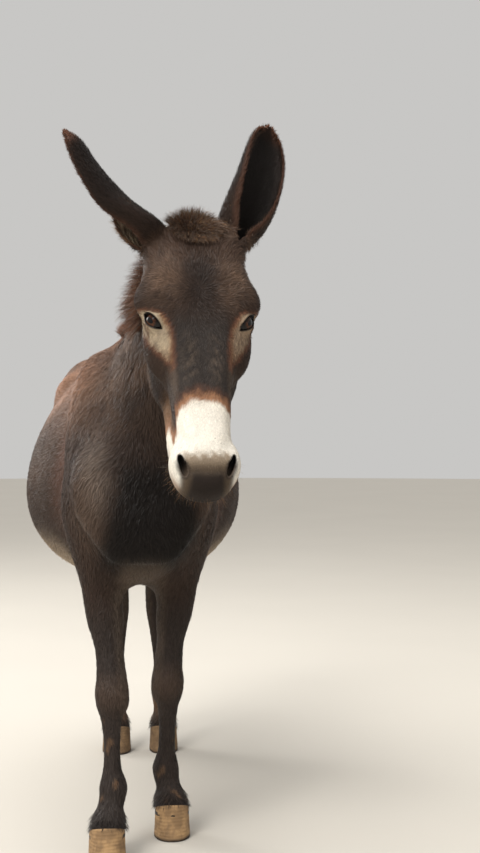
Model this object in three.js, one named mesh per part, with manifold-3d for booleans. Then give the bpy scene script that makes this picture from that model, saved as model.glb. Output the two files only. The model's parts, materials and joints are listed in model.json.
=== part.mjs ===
// A life-size standing donkey, parted into named solids. Millimetres, +Z up.
// It faces -Y, and +X is the animal's left. The finished group is moved so
// that the bottom centre of its box is the origin.
//
// The body is one smooth field: lofts of oval sections and ellipsoids of
// muscle or bone, blended together. Each node is a net drawn on that field in
// its own grid, then parted from its neighbours with thin flat cuts.
import * as THREE from "three";
import { mergeVertices } from "three/addons/utils/BufferGeometryUtils.js";
import Module from "manifold-3d";

const wasm = await Module();
wasm.setup();

// ---------------------------------------------------------------- sizes
const GAP = 0.4; // width of every parting cut
const WITHERS = 1112; // height of the withers
const CROUP = 1098; // height of the croup
const BELLY = 533; // lowest line of the belly
const BARREL_HALF = 262; // half width of the barrel
const FORE_STANCE = 71; // sideways from the mid plane to a fore hoof
const HIND_STANCE = 65; // and to a hind hoof, before their shift
const FORE_Y = 42; // from the plane of the shoulders back to the fore hooves
const STAGGER = 77; // how far the right fore stands ahead, and the left behind
const HIND_Y = 890; // from the plane of the shoulders back to the hind hooves
const HIND_SHIFT = 18; // of both hind hooves to the animal's left
const HOOF_TOP = 62; // height of the coronet at the middle of a hoof
const HEAD_TILT = THREE.MathUtils.degToRad(27); // of the face, from upright
const HEAD_YAW = THREE.MathUtils.degToRad(4.5); // of the face, to its left
const HEAD_LEAN = THREE.MathUtils.degToRad(1.4); // of the muzzle, to its left
const POLL = new THREE.Vector3(90, -410, 1255); // top of the head
const EYE_RADIUS = 20;
const EAR_LENGTH = 278;
const EAR_WALL = 8; // thickness of an ear with its hair

const V = (x, y, z) => new THREE.Vector3(x, y, z);
const X = V(1, 0, 0);
const Y = V(0, 1, 0);
const Z = V(0, 0, 1);
const SIDES = { left: 1, right: -1 };

// ---------------------------------------------------------------- the field
// A frame of three unit axes: along the part, up out of it, and to its left.
function frame(origin, along, up) {
  const a = along.clone().normalize();
  const u = up.clone().addScaledVector(a, -up.dot(a)).normalize();
  const side = a.clone().cross(u);
  if (side.x < 0) side.negate();
  return { origin, along: a, up: u, side };
}

// A point given in a frame: side, up, along.
function at(f, side, up, along) {
  const beside = f.origin.clone().addScaledVector(f.side, side);
  return beside.addScaledVector(f.up, up).addScaledVector(f.along, along);
}

// Smooth curve through rows of numbers whose first entry is the position.
function curveThrough(rows, samples = 160) {
  const first = rows[0][0];
  const last = rows[rows.length - 1][0];
  const slope = (i, c) => {
    const a = rows[Math.max(i - 1, 0)];
    const b = rows[Math.min(i + 1, rows.length - 1)];
    return (b[c] - a[c]) / (b[0] - a[0]);
  };
  const table = [];
  for (let k = 0, i = 0; k <= samples; k++) {
    const t = first + ((last - first) * k) / samples;
    while (i < rows.length - 2 && t > rows[i + 1][0]) i++;
    const h = rows[i + 1][0] - rows[i][0];
    const s = (t - rows[i][0]) / h;
    table.push(rows[0].map((_, c) => {
      const p = rows[i][c];
      const q = rows[i + 1][c];
      const swing = slope(i, c) * (1 - s) - slope(i + 1, c) * s;
      return p + (q - p) * s * s * (3 - 2 * s) + h * s * (1 - s) * swing;
    }));
  }
  return (t) => {
    const k = THREE.MathUtils.clamp(((t - first) / (last - first)) * samples, 0, samples - 1e-9);
    const i = Math.floor(k);
    return table[i].map((v, c) => v + (table[i + 1][c] - v) * (k - i));
  };
}

// Oval sections stacked along a frame's axis. A row is: position along, centre
// to the side, centre up, half width, height above the centre, depth below it,
// and, if its top is more or less pointed than the rest, its own upper power.
function loft(f, rows, { powers = [2, 2], caps = [30, 30] } = {}) {
  const section = curveThrough(rows);
  const first = rows[0][0];
  const last = rows[rows.length - 1][0];
  return (p) => {
    const dx = p.x - f.origin.x;
    const dy = p.y - f.origin.y;
    const dz = p.z - f.origin.z;
    const t = dx * f.along.x + dy * f.along.y + dz * f.along.z;
    const held = Math.min(Math.max(t, first), last);
    const [, cu, cv, half, above, below, peak = powers[0]] = section(held);
    const u = dx * f.side.x + dy * f.side.y + dz * f.side.z - cu;
    const v = dx * f.up.x + dy * f.up.y + dz * f.up.z - cv;
    const w = t - held;
    const n = v > 0 ? peak : powers[1];
    const oval = (Math.abs(u / half) ** n + Math.abs(v / (v > 0 ? above : below)) ** n) ** (1 / n);
    const g = Math.hypot(oval, w / caps[w > 0 ? 1 : 0]);
    return g < 1e-4 ? -half : Math.hypot(u, v, w) * (1 - 1 / g);
  };
}

// An ellipsoid in a frame's axes: radii to the side, up and along.
function blob(f, [side, up, along]) {
  return (p) => {
    const dx = p.x - f.origin.x;
    const dy = p.y - f.origin.y;
    const dz = p.z - f.origin.z;
    const a = dx * f.side.x + dy * f.side.y + dz * f.side.z;
    const b = dx * f.up.x + dy * f.up.y + dz * f.up.z;
    const c = dx * f.along.x + dy * f.along.y + dz * f.along.z;
    const g = Math.hypot(a / side, b / up, c / along);
    return g < 1e-4 ? -Math.min(side, up, along) : Math.hypot(a, b, c) * (1 - 1 / g);
  };
}

const smin = (a, b, k) => {
  const h = Math.max(k - Math.abs(a - b), 0) / k;
  return Math.min(a, b) - (h * h * k) / 4;
};
const smax = (a, b, k) => -smin(-a, -b, k);

// Blends fields given as [field, blend width], in order.
function blended(parts) {
  return (p) => parts.reduce((d, [field, k]) => smin(d, field(p), k), 1e6);
}

// ---------------------------------------------------------------- trunk
const world = frame(V(0, 0, 0), Y, Z);
const TRUNK_ROWS = [
  // y, side, widest z, half width, above, below, upper power
  [-140, 0, 765, 96, 125, 120, 2],
  [-60, 0, 775, 128, 190, 188, 1.8],
  [40, 0, 770, 150, 300, 208, 1.55],
  [110, 0, 768, 170, WITHERS - 768, 214, 1.5],
  [250, -4, 755, 226, 338, 212, 1.62],
  [430, -8, 745, BARREL_HALF, 335, 745 - BELLY, 1.75],
  [600, -8, 765, 256, 326, 225, 1.8],
  [740, -4, 820, 226, 276, 232, 1.75],
  [850, 0, 860, 200, CROUP - 860, 205, 1.85],
  [950, 0, 880, 158, 184, 148, 2],
  [1010, 0, 895, 110, 126, 98, 2],
];
const trunkLoft = loft(world, TRUNK_ROWS, { powers: [2, 2.15], caps: [58, 40] });

// Muscle and bone that shows under the trunk's coat, for one side.
function trunkMuscles(s) {
  const ball = (at_, radii, tilt = Z) => blob(frame(at_, tilt, Y), radii);
  return [
    [ball(V(s * 94, 20, 890), [56, 90, 180], V(0, 0.42, 1)), 70], // shoulder blade
    [ball(V(s * 88, -120, 775), [62, 62, 85]), 50], // point of the shoulder
    [ball(V(s * 100, 40, 740), [52, 100, 105], V(0, 0.3, 1)), 55], // triceps
    [ball(V(s * 46, -146, 700), [50, 40, 84]), 60], // breast muscle
    [ball(V(s * 118, 850, 935), [98, 170, 150], V(0, 0.25, 1)), 70], // rump
    [ball(V(s * 168, 705, 985), [38, 48, 44]), 60], // point of the hip
    [ball(V(s * 92, 985, 900), [62, 66, 110]), 50], // buttock
  ];
}

// ---------------------------------------------------------------- neck
const NECK_BASE = V(0, 55, 885);
const NECK_END = V(POLL.x, POLL.y + 70, POLL.z - 105);
const neckFrame = frame(NECK_BASE, NECK_END.clone().sub(NECK_BASE), Z);
const neckLength = NECK_END.distanceTo(NECK_BASE);
const NECK_ROWS = [
  [0, 0, -4, 112, 192, 214, 1.5],
  [0.25, -6, 2, 98, 170, 196, 1.55],
  [0.5, -8, 5, 84, 149, 165, 1.65],
  [0.75, -4, 4, 74, 128, 132, 1.8],
  [1, 0, 0, 64, 108, 106, 2],
].map(([t, ...rest]) => [t * neckLength, ...rest]);
const neckLoft = loft(neckFrame, NECK_ROWS, { powers: [2, 2.1], caps: [80, 60] });

// ---------------------------------------------------------------- head
const headAlong = V(
  Math.sin(HEAD_LEAN),
  -Math.sin(HEAD_TILT) * Math.cos(HEAD_YAW),
  -Math.cos(HEAD_TILT),
);
const headUp = V(
  Math.cos(HEAD_TILT) * Math.sin(HEAD_YAW),
  -Math.cos(HEAD_TILT) * Math.cos(HEAD_YAW),
  Math.sin(HEAD_TILT),
);
const headFrame = frame(POLL, headAlong, headUp);
const FACE_ROWS = [
  // down the face, side, centre, half width, to the face line, to the palate
  [0, 0, -52, 68, 50, 62],
  [56, 0, -50, 94, 60, 76],
  [116, 0, -48, 104, 66, 82],
  [172, 0, -50, 97, 60, 80],
  [222, 0, -56, 80, 54, 72],
  [266, 0, -61, 65, 51, 64],
  [311, 0, -65, 55, 50, 56],
  [360, 0, -68, 49, 50, 51],
  [402, 0, -70, 48, 50, 47],
  [440, 0, -72, 52, 49, 45],
  [466, 0, -77, 48, 45, 41],
];
const JAW_ROWS = [
  [98, 0, -135, 54, 60, 66],
  [158, 0, -152, 68, 70, 74],
  [216, 0, -148, 70, 62, 64],
  [266, 0, -139, 65, 50, 51],
  [311, 0, -130, 59, 44, 42],
  [350, 0, -121, 57, 40, 35],
  [390, 0, -113, 57, 38, 34],
  [432, 0, -112, 49, 34, 32],
  [455, 0, -112, 40, 28, 26],
];
const EYE = { side: 75, up: -27, along: 180 };

function headBulges(s) {
  const on = (side, up, along) => frame(at(headFrame, s * side, up, along), headAlong, headUp);
  const ball = (side, up, along, radii) => blob(on(side, up, along), radii);
  return [
    [ball(56, -122, 190, [28, 80, 88]), 30], // cheek muscle
    [ball(82, -30, 136, [31, 28, 33]), 26], // brow
    [ball(70, -66, 207, [25, 28, 52]), 30], // cheek bone
    [ball(42, -66, 438, [19, 30, 32]), 20], // nostril wing
    [ball(58, -40, 24, [36, 38, 40]), 26], // root of the ear
  ];
}
const headField = blended([
  [loft(headFrame, FACE_ROWS, { powers: [2.7, 2.2], caps: [45, 32] }), 1],
  [loft(headFrame, JAW_ROWS, { powers: [2, 2.2], caps: [45, 20] }), 28],
  ...headBulges(1),
  ...headBulges(-1),
]);
const nostril = (s) => {
  const place = at(headFrame, s * 41, -42, 453);
  return blob(frame(place, V(s * -0.3, -0.5, -0.9), headUp), [7, 17, 21]);
};

// ---------------------------------------------------------------- legs
// Rows of a leg that stands upright: height, outwards, backwards, half width,
// to the front, to the back. "Lean" carries the upper rows back over the hoof,
// and "drift" carries them to the animal's left.
const FORE_ROWS = [
  [50, 0, -2, 34, 38, 36],
  [90, -4, 10, 27, 27, 29],
  [122, -11, 24, 28.5, 27, 33],
  [146, -13, 28, 28.5, 29, 34],
  [180, -11, 30, 20, 23, 29],
  [235, -10, 29, 19, 21, 29],
  [285, -9, 27, 25, 25, 29],
  [312, -11, 24, 35, 36, 32],
  [340, -10, 22, 37, 39, 36],
  [376, -9, 24, 33, 34, 37],
  [430, -4, 28, 32, 34, 36],
  [490, 4, 34, 42, 43, 45],
  [545, 11, 42, 46, 56, 58],
  [600, 17, 50, 50, 72, 74],
  [660, 23, 56, 51, 86, 84],
  [720, 28, 56, 50, 90, 86],
];
const HIND_ROWS = [
  [50, 0, 0, 33, 38, 36],
  [90, 0, 13, 26, 26, 30],
  [122, 0, 28, 28, 27, 34],
  [148, -1, 34, 29, 30, 35],
  [184, -2, 42, 22, 25, 30],
  [250, -4, 52, 21, 24, 31],
  [320, -9, 62, 24, 26, 35],
  [372, -12, 71, 29, 33, 42],
  [412, -11, 79, 32, 41, 47],
  [452, -10, 86, 32, 44, 49],
  [486, -9, 84, 28, 43, 52],
  [525, -3, 66, 29, 46, 46],
  [575, 10, 40, 37, 60, 58],
  [635, 28, 8, 52, 80, 84],
  [700, 44, -16, 66, 104, 120],
  [780, 52, -24, 78, 122, 160],
  [860, 56, -8, 84, 118, 160],
  [930, 56, 10, 80, 100, 130],
];

const upright = (x, y) => frame(V(x, y, 0), Z, Y.clone().negate());
function leg(rows, x, hoofY, lean, drift) {
  const s = Math.sign(x);
  const f = upright(x, hoofY);
  const top = rows[rows.length - 1][0];
  const leaned = rows.map(([z, out, back, half, front, rear]) => {
    const share = Math.max(0, (z - 110) / (top - 110));
    return [z, s * out + drift * share, -(back + lean * share), half, front, rear];
  });
  return loft(f, leaned, { powers: [2.1, 2.1], caps: [20, 60] });
}
const foreY = (s) => FORE_Y + s * STAGGER;
const hindX = (s) => s * HIND_STANCE + HIND_SHIFT;
const foreField = (s) => leg(FORE_ROWS, s * FORE_STANCE, foreY(s), -0.8 * s * STAGGER - 0.6 * FORE_Y, 0);
const hindField = (s) => leg(HIND_ROWS, hindX(s), HIND_Y, 0, -HIND_SHIFT);
const legFields = [foreField(1), foreField(-1), hindField(1), hindField(-1)];
const legs = (p) => Math.min(...legFields.map((field) => field(p)));

// ---------------------------------------------------------------- hair and tail
const MANE_ROWS = NECK_ROWS.map(([t, side, up, , above]) => [t, side - 6, up + above * 0.97, 15, 42, 40]);
MANE_ROWS.unshift([-70, 0, 150, 11, 22, 30]);
MANE_ROWS.push([neckLength + 55, 0, 84, 15, 34, 34]);
const maneField = loft(neckFrame, MANE_ROWS, { powers: [2, 2], caps: [30, 12] });
const fallPlace = at(neckFrame, -62, 66, 0.86 * neckLength);
const maneFall = blob(frame(fallPlace, neckFrame.along, neckFrame.up), [46, 66, 64]);
const forelockField = blob(frame(at(headFrame, 0, 0, -16), headAlong, headUp), [40, 38, 38]);

const TAIL = upright(0, 1066);
const TAIL_ROWS = [
  // height, to the left, to the front, half width, to the front, to the back
  [345, 78, -34, 8, 8, 8],
  [410, 77, -34, 26, 24, 24],
  [520, 72, -32, 32, 30, 30],
  [620, 60, -30, 25, 25, 25],
  [700, 46, -30, 19, 19, 19],
  [800, 27, -27, 20, 20, 20],
  [900, 9, -18, 23, 23, 23],
  [955, 0, 6, 26, 28, 27],
  [985, 0, 42, 29, 34, 30],
];
const tailField = loft(TAIL, TAIL_ROWS, { powers: [2, 2], caps: [14, 20] });

// ---------------------------------------------------------------- whole body
const body = (p) => {
  const whole = bodyParts(p);
  return carving.reduce((d, hollow) => smax(d, -hollow(p), 8), whole);
};
const bodyParts = blended([
  [trunkLoft, 1],
  ...trunkMuscles(1),
  ...trunkMuscles(-1),
  [neckLoft, 95],
  [headField, 40],
  [legs, 62],
  [maneFall, 40],
  [maneField, 14],
  [forelockField, 14],
  [tailField, 14],
]);
const carving = [nostril(1), nostril(-1)];

// ---------------------------------------------------------------- nets
// Corners and edges of one cell of a grid. An edge is named by its axis and the
// corner that it starts from.
const CORNERS = [0, 1, 2, 3, 4, 5, 6, 7].map((c) => [c & 1, (c >> 1) & 1, c >> 2]);
const bitsOf = ([i, j, k]) => i + 2 * j + 4 * k;
const EDGES = [0, 1, 2].flatMap((axis) => CORNERS.filter((c) => !c[axis]).map((from) => {
  const to = from.map((x, m) => (m === axis ? 1 : x));
  return { axis, from, to, name: axis * 8 + bitsOf(from) };
}));
const UNIT = [V(1, 0, 0), V(0, 1, 0), V(0, 0, 1)].map((v) => v.toArray());

// Sorts the crossed edges of a cell into the sheets of surface that cross it,
// face by face, so that two sheets in one cell get a vertex each.
const sheetsBySign = new Map();
function sheetsOf(inside) {
  const known = sheetsBySign.get(inside);
  if (known) return known;
  const has = (corner) => ((inside >> bitsOf(corner)) & 1) === 1;
  const crossed = EDGES.filter((e) => has(e.from) !== has(e.to));
  const sheet = new Map(crossed.map((e) => [e.name, e.name]));
  const join = (a, b) => {
    const [keep, drop] = [sheet.get(a.name), sheet.get(b.name)];
    for (const [name, group] of sheet) if (group === drop) sheet.set(name, keep);
  };
  for (const axis of [0, 1, 2])
    for (const side of [0, 1]) {
      const face = crossed.filter((e) => e.axis !== axis && e.from[axis] === side);
      if (face.length === 2) join(face[0], face[1]);
      if (face.length !== 4) continue;
      for (const corner of CORNERS.filter((c) => c[axis] === side && has(c))) {
        const pair = face.filter((e) => [e.from, e.to].some((end) => bitsOf(end) === bitsOf(corner)));
        join(pair[0], pair[1]);
      }
    }
  const groups = [...new Set(sheet.values())];
  const sheets = groups.map((group) => crossed.filter((e) => sheet.get(e.name) === group));
  sheetsBySign.set(inside, sheets);
  return sheets;
}

// Draws the surface of a field inside a box of a frame, as one closed solid.
// Low, high and step are given along the frame's side, up and along axes.
function net(field, f, low, high, step) {
  const n = low.map((a, i) => Math.ceil((high[i] - a) / step[i]) + 4);
  const place = (cell) => at(f, ...cell.map((i, m) => low[m] + (i - 1.5) * step[m]));
  const outOfBox = (p) => {
    const q = p.clone().sub(f.origin);
    const c = [q.dot(f.side), q.dot(f.up), q.dot(f.along)];
    return Math.max(...c.map((x, i) => Math.max(low[i] - x, x - high[i])));
  };
  const closed = (p) => Math.max(field(p), outOfBox(p));
  const id = ([i, j, k]) => i + n[0] * (j + n[1] * k);
  const plus = (a, b, scale = 1) => a.map((x, m) => x + scale * b[m]);
  const everyCell = (first, visit) => {
    for (let k = first; k < n[2] - 1; k++)
      for (let j = first; j < n[1] - 1; j++) for (let i = first; i < n[0] - 1; i++) visit([i, j, k]);
  };

  const value = new Float32Array((n[0] + 1) * (n[1] + 1) * (n[2] + 1));
  for (let k = 0; k < n[2]; k++)
    for (let j = 0; j < n[1]; j++)
      for (let i = 0; i < n[0]; i++) value[id([i, j, k])] = closed(place([i, j, k]));

  const points = [];
  const pointOn = new Map();
  everyCell(0, (cell) => {
    const v = CORNERS.map((c) => value[id(plus(cell, c))]);
    const inside = v.reduce((bits, d, c) => bits | (d < 0 ? 1 << c : 0), 0);
    if (inside === 0 || inside === 255) return;
    for (const sheet of sheetsOf(inside)) {
      const middle = V(0, 0, 0);
      for (const { axis, from, to, name } of sheet) {
        const [a, b] = [v[bitsOf(from)], v[bitsOf(to)]];
        middle.add(place(plus(plus(cell, from), UNIT[axis], a / (a - b))));
        pointOn.set(id(cell) * 24 + name, points.length);
      }
      points.push(onSurface(closed, middle.divideScalar(sheet.length), Math.min(...step) / 2));
    }
  });

  const triangles = [];
  const handed = f.side.clone().cross(f.up).dot(f.along) > 0;
  everyCell(1, (start) => {
    for (const axis of [0, 1, 2]) {
      const inside = value[id(start)] < 0;
      if (inside === value[id(plus(start, UNIT[axis]))] < 0) continue;
      const [u, v] = [UNIT[(axis + 1) % 3], UNIT[(axis + 2) % 3]];
      const around = (du, dv) => {
        const corner = plus(plus([0, 0, 0], u, du), v, dv);
        return pointOn.get(id(plus(start, corner, -1)) * 24 + axis * 8 + bitsOf(corner));
      };
      const loop = [around(0, 0), around(1, 0), around(1, 1), around(0, 1)];
      const [a, b, c, d] = inside === handed ? loop : loop.reverse();
      triangles.push([a, b, c], [a, c, d]);
    }
  });
  return solidFrom(points, triangles);
}

// Moves a point onto the field's surface by a few Newton steps.
function onSurface(field, point, reach) {
  const start = point.clone();
  const h = 0.5;
  for (let round = 0; round < 3; round++) {
    const d = field(point);
    const g = V(
      field(point.clone().addScaledVector(X, h)) - d,
      field(point.clone().addScaledVector(Y, h)) - d,
      field(point.clone().addScaledVector(Z, h)) - d,
    ).divideScalar(h);
    point.addScaledVector(g, -d / Math.max(g.lengthSq(), 0.2));
    const moved = point.clone().sub(start);
    if (moved.length() > reach) point.copy(start).addScaledVector(moved, reach / moved.length());
  }
  return point;
}

// ---------------------------------------------------------------- solids
function solidFrom(points, triangles) {
  return new wasm.Manifold(new wasm.Mesh({
    numProp: 3,
    vertProperties: Float32Array.from(points.flatMap((p) => [p.x, p.y, p.z])),
    triVerts: Uint32Array.from(triangles.flat()),
  }));
}

function solidOf(geometry) {
  const bare = geometry.clone().deleteAttribute("normal").deleteAttribute("uv");
  const merged = mergeVertices(bare);
  return new wasm.Manifold(new wasm.Mesh({
    numProp: 3,
    vertProperties: merged.attributes.position.array,
    triVerts: new Uint32Array(merged.index.array),
  }));
}

// The space beyond every plane given, on the side that each normal points to
// and a little way off the plane itself.
function spaceOf(planes, gap) {
  const size = 4000;
  return planes.map(({ point, normal }) => {
    const block = new THREE.BoxGeometry(size, size, size);
    block.translate(0, 0, size / 2 + gap);
    block.applyQuaternion(new THREE.Quaternion().setFromUnitVectors(Z, normal.clone().normalize()));
    return solidOf(block.translate(point.x, point.y, point.z));
  }).reduce((space, block) => space.intersect(block));
}

// Keeps what lies in a space, or takes out the spaces of a solid's neighbours.
// Each side of a cut stands back from it by half the gap.
const within = (solid, ...planes) => solid.intersect(spaceOf(planes, GAP / 2));
const without = (solid, ...spaces) =>
  spaces.reduce((left, planes) => left.subtract(spaceOf(planes, -GAP / 2)), solid);

// The largest body of a solid, which drops crumbs left by a cut.
function largest(solid) {
  return solid.decompose().sort((a, b) => b.volume() - a.volume())[0];
}

function geometryOf(solid) {
  const mesh = largest(solid).getMesh();
  const geometry = new THREE.BufferGeometry();
  geometry.setAttribute("position", new THREE.BufferAttribute(new Float32Array(mesh.vertProperties), 3));
  geometry.setIndex(new THREE.BufferAttribute(new Uint32Array(mesh.triVerts), 1));
  geometry.computeVertexNormals();
  return geometry;
}

// ---------------------------------------------------------------- ears
// The shell of an ear: rings of an open oval, thick as the ear and its hair.
const EAR_ROWS = [
  // share of length, half width, depth of the back, turn from the back to an edge
  [0, 29, 28, 165],
  [0.1, 40, 32, 155],
  [0.2, 47, 32, 140],
  [0.38, 51, 29, 122],
  [0.58, 50, 25, 108],
  [0.72, 47, 22, 100],
  [0.85, 38, 20, 94],
  [0.95, 24, 14, 90],
  [1, 11, 9, 90],
];
const EARS = {
  left: { seat: [68, -36, 6], to: V(0.32, 0.32, 0.91), opening: V(0.3, -0.95, 0), bow: [9, 16], twist: 9 },
  right: {
    seat: [-60, -36, 12], to: V(-0.64, -0.04, 0.75), opening: V(-0.68, -0.42, -0.6), bow: [-2, 21],
    twist: -43,
  },
};
const EAR_TWISTED = [0.08, 0.5]; // shares of the length between which the twist grows
function earShell({ seat, to, opening, bow, twist }, rings = 8, strips = 6) {
  const f = frame(at(headFrame, ...seat), to, opening);
  const sizes = curveThrough(EAR_ROWS);
  const points = [];
  for (let i = 0; i <= rings; i++) {
    const share = i / rings;
    const [, half, depth, edge] = sizes(share);
    const [sway, lift] = bow.map((reach) => reach * Math.sin(Math.PI * share));
    const wall = Math.min(EAR_WALL, depth * 0.8);
    const turned = THREE.MathUtils.degToRad(twist) * THREE.MathUtils.smoothstep(share, ...EAR_TWISTED);
    for (const skin of [0, wall])
      for (let j = 0; j <= strips; j++) {
        const turn = THREE.MathUtils.degToRad(edge * ((2 * j) / strips - 1));
        const section = new THREE.Vector2((half - skin) * Math.sin(turn), (depth - skin) * Math.cos(turn));
        const { x, y } = section.rotateAround(new THREE.Vector2(), turned);
        points.push(at(f, sway + x, lift - y, share * EAR_LENGTH));
      }
  }
  const id = (i, layer, j) => (i * 2 + layer) * (strips + 1) + j;
  const quads = [];
  for (let i = 0; i < rings; i++) {
    for (let j = 0; j < strips; j++) {
      quads.push([id(i, 0, j), id(i, 0, j + 1), id(i + 1, 0, j + 1), id(i + 1, 0, j)]);
      quads.push([id(i, 1, j), id(i + 1, 1, j), id(i + 1, 1, j + 1), id(i, 1, j + 1)]);
    }
    quads.push([id(i, 0, 0), id(i + 1, 0, 0), id(i + 1, 1, 0), id(i, 1, 0)]);
    quads.push([id(i, 0, strips), id(i, 1, strips), id(i + 1, 1, strips), id(i + 1, 0, strips)]);
  }
  for (let j = 0; j < strips; j++) {
    quads.push([id(0, 0, j), id(0, 1, j), id(0, 1, j + 1), id(0, 0, j + 1)]);
    quads.push([id(rings, 0, j), id(rings, 0, j + 1), id(rings, 1, j + 1), id(rings, 1, j)]);
  }
  const handed = f.side.clone().cross(f.up).dot(f.along) > 0;
  return solidFrom(points, quads.flatMap((q) => {
    const [a, b, c, d] = handed ? q : [...q].reverse();
    return [[a, b, c], [a, c, d]];
  }));
}

// ---------------------------------------------------------------- hooves
const HOOF_ROWS = [
  [-20, 0, 8, 40.5, 56, 45],
  [0, 0, 7, 40, 55, 45],
  [40, 0, 2, 38, 45, 41],
  [90, 0, -3, 36, 36, 37],
];
const hoofField = (x, y) => loft(upright(x, y), HOOF_ROWS, { powers: [2.2, 2.2], caps: [10, 10] });

// ---------------------------------------------------------------- parting
const flipped = ({ point, normal }) => ({ point, normal: normal.clone().negate() });
const above = (z) => ({ point: V(0, 0, z), normal: Z });
const below = (z) => flipped(above(z));
const neckPlane = { point: V(0, 60, 1115), normal: V(0, -0.788, 0.616) };
const headPlane = { point: V(POLL.x, -366, 1275), normal: V(0, -0.858, -0.513) };
const jawPlane = {
  point: at(headFrame, 0, -104, 455),
  normal: headUp.clone().addScaledVector(headAlong, 0.03),
};
const crestPlane = {
  point: at(neckFrame, 0, 196, 0),
  normal: neckFrame.up.clone().addScaledVector(neckFrame.along, 0.17),
};
const forelockPlane = {
  point: at(headFrame, 0, 2, -12),
  normal: headUp.clone().addScaledVector(headAlong, -0.9),
};
const tailPlane = { point: V(0, 1046, 930), normal: V(0, 1, 0.1) };
const coronet = (x, y) => ({ point: V(x, y, HOOF_TOP), normal: V(0, 0.34, 1) });

// Each space is the list of planes that it lies beyond.
const neckSpace = [neckPlane];
const headSpace = [neckPlane, headPlane];
const maneSpace = [neckPlane, crestPlane, flipped(headPlane)];
const forelockSpace = [neckPlane, headPlane, forelockPlane];
const tailSpace = [tailPlane];

// A leg lies under a slope across the body, on its own side, between a front
// and a back.
const legSpace = (s, inner, outer, front, back) => [
  { point: V(s * inner.x, 0, inner.z), normal: V(s * (outer.z - inner.z), 0, inner.x - outer.x) },
  { point: V(0, 0, 0), normal: V(s, 0, 0) },
  front,
  back,
];
const foreSpace = (s) => legSpace(s, { x: 20, z: 600 }, { x: 175, z: 700 },
  { point: V(0, -400, 0), normal: Y }, { point: V(0, 165, 0), normal: V(0, -1, 0) });
const hindSpace = (s) => legSpace(s, { x: 15, z: 640 }, { x: 235, z: 900 },
  { point: V(0, 800, 590), normal: V(0, 0.935, 0.355) }, { point: V(0, 1300, 0), normal: V(0, -1, 0) });

// ---------------------------------------------------------------- the model
const materials = {
  coat: new THREE.MeshStandardMaterial({ color: 0x2e2622, roughness: 0.85 }),
  mane: new THREE.MeshStandardMaterial({ color: 0x4a342b, roughness: 0.9 }),
  eye: new THREE.MeshStandardMaterial({ color: 0x1c120c, roughness: 0.1 }),
  hoof: new THREE.MeshStandardMaterial({ color: 0x9a8260, roughness: 0.8 }),
};
const donkey = new THREE.Group();
function add(name, solid, material) {
  const mesh = new THREE.Mesh(geometryOf(solid), materials[material]);
  mesh.name = name;
  donkey.add(mesh);
}

const trunkNet = net(body, world, [-300, 440, -260], [300, 1180, 1090], [62, 60, 84]);
const neckNet = (field) => net(field, neckFrame, [-170, -310, 30], [170, 250, neckLength + 90], [32, 34, 46]);
const headNet = (field) => net(field, headFrame, [-125, -250, -80], [125, 40, 520], [22, 23, 30]);

function eyeball(s, radius) {
  const ball = new THREE.SphereGeometry(radius, 10, 8);
  const centre = at(headFrame, s * EYE.side, EYE.up, EYE.along);
  return solidOf(ball.translate(centre.x, centre.y, centre.z));
}

const legSpaces = [foreSpace(1), foreSpace(-1), hindSpace(1), hindSpace(-1)];
add("trunk", without(trunkNet, neckSpace, tailSpace, ...legSpaces), "coat");
const neck = without(within(neckNet(body), ...neckSpace), headSpace, maneSpace);
add("neck", neck, "coat");

const sockets = eyeball(1, EYE_RADIUS + GAP).add(eyeball(-1, EYE_RADIUS + GAP));
const skull = without(within(headNet(body), ...headSpace), forelockSpace).subtract(sockets);
add("head", within(skull, jawPlane), "coat");
add("jaw", within(skull, flipped(jawPlane)), "coat");
const forelockNet = net(body, headFrame, [-60, -40, -70], [60, 60, 60], [20, 20, 20]);
add("forelock", within(forelockNet, ...forelockSpace), "mane");
const maneNet = net(body, neckFrame, [-60, 60, 90], [60, 280, neckLength + 90], [16, 28, 54]);
add("mane", within(maneNet, ...maneSpace), "mane");

// The ears stand clear of the head and neck by the width that these are grown.
const CLEARANCE = 1.4;
const grown = (p) => body(p) - CLEARANCE;
const aroundEars = headNet(grown).add(neckNet(grown)).add(skull).add(neck);
for (const [name, s] of Object.entries(SIDES)) {
  add("eye_" + name, eyeball(s, EYE_RADIUS), "eye");
  add("ear_" + name, earShell(EARS[name]).subtract(aroundEars), "coat");
}

const tailNet = within(net(body, TAIL, [-60, -80, 330], [120, 80, 1040], [17, 17, 46]), ...tailSpace);
const TUFT_TOP = 640;
add("tail", within(tailNet, above(TUFT_TOP)), "coat");
add("tail_tuft", within(tailNet, below(TUFT_TOP)), "mane");

// A box of a leg's net, given for the left side: [inwards, outwards], [back,
// front], [low, high].
const legBox = (s, [inner, outer], [back, front], [low, high]) =>
  s > 0 ? [[-inner, -back, low], [outer, front, high]] : [[-outer, -back, low], [inner, front, high]];

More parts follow.
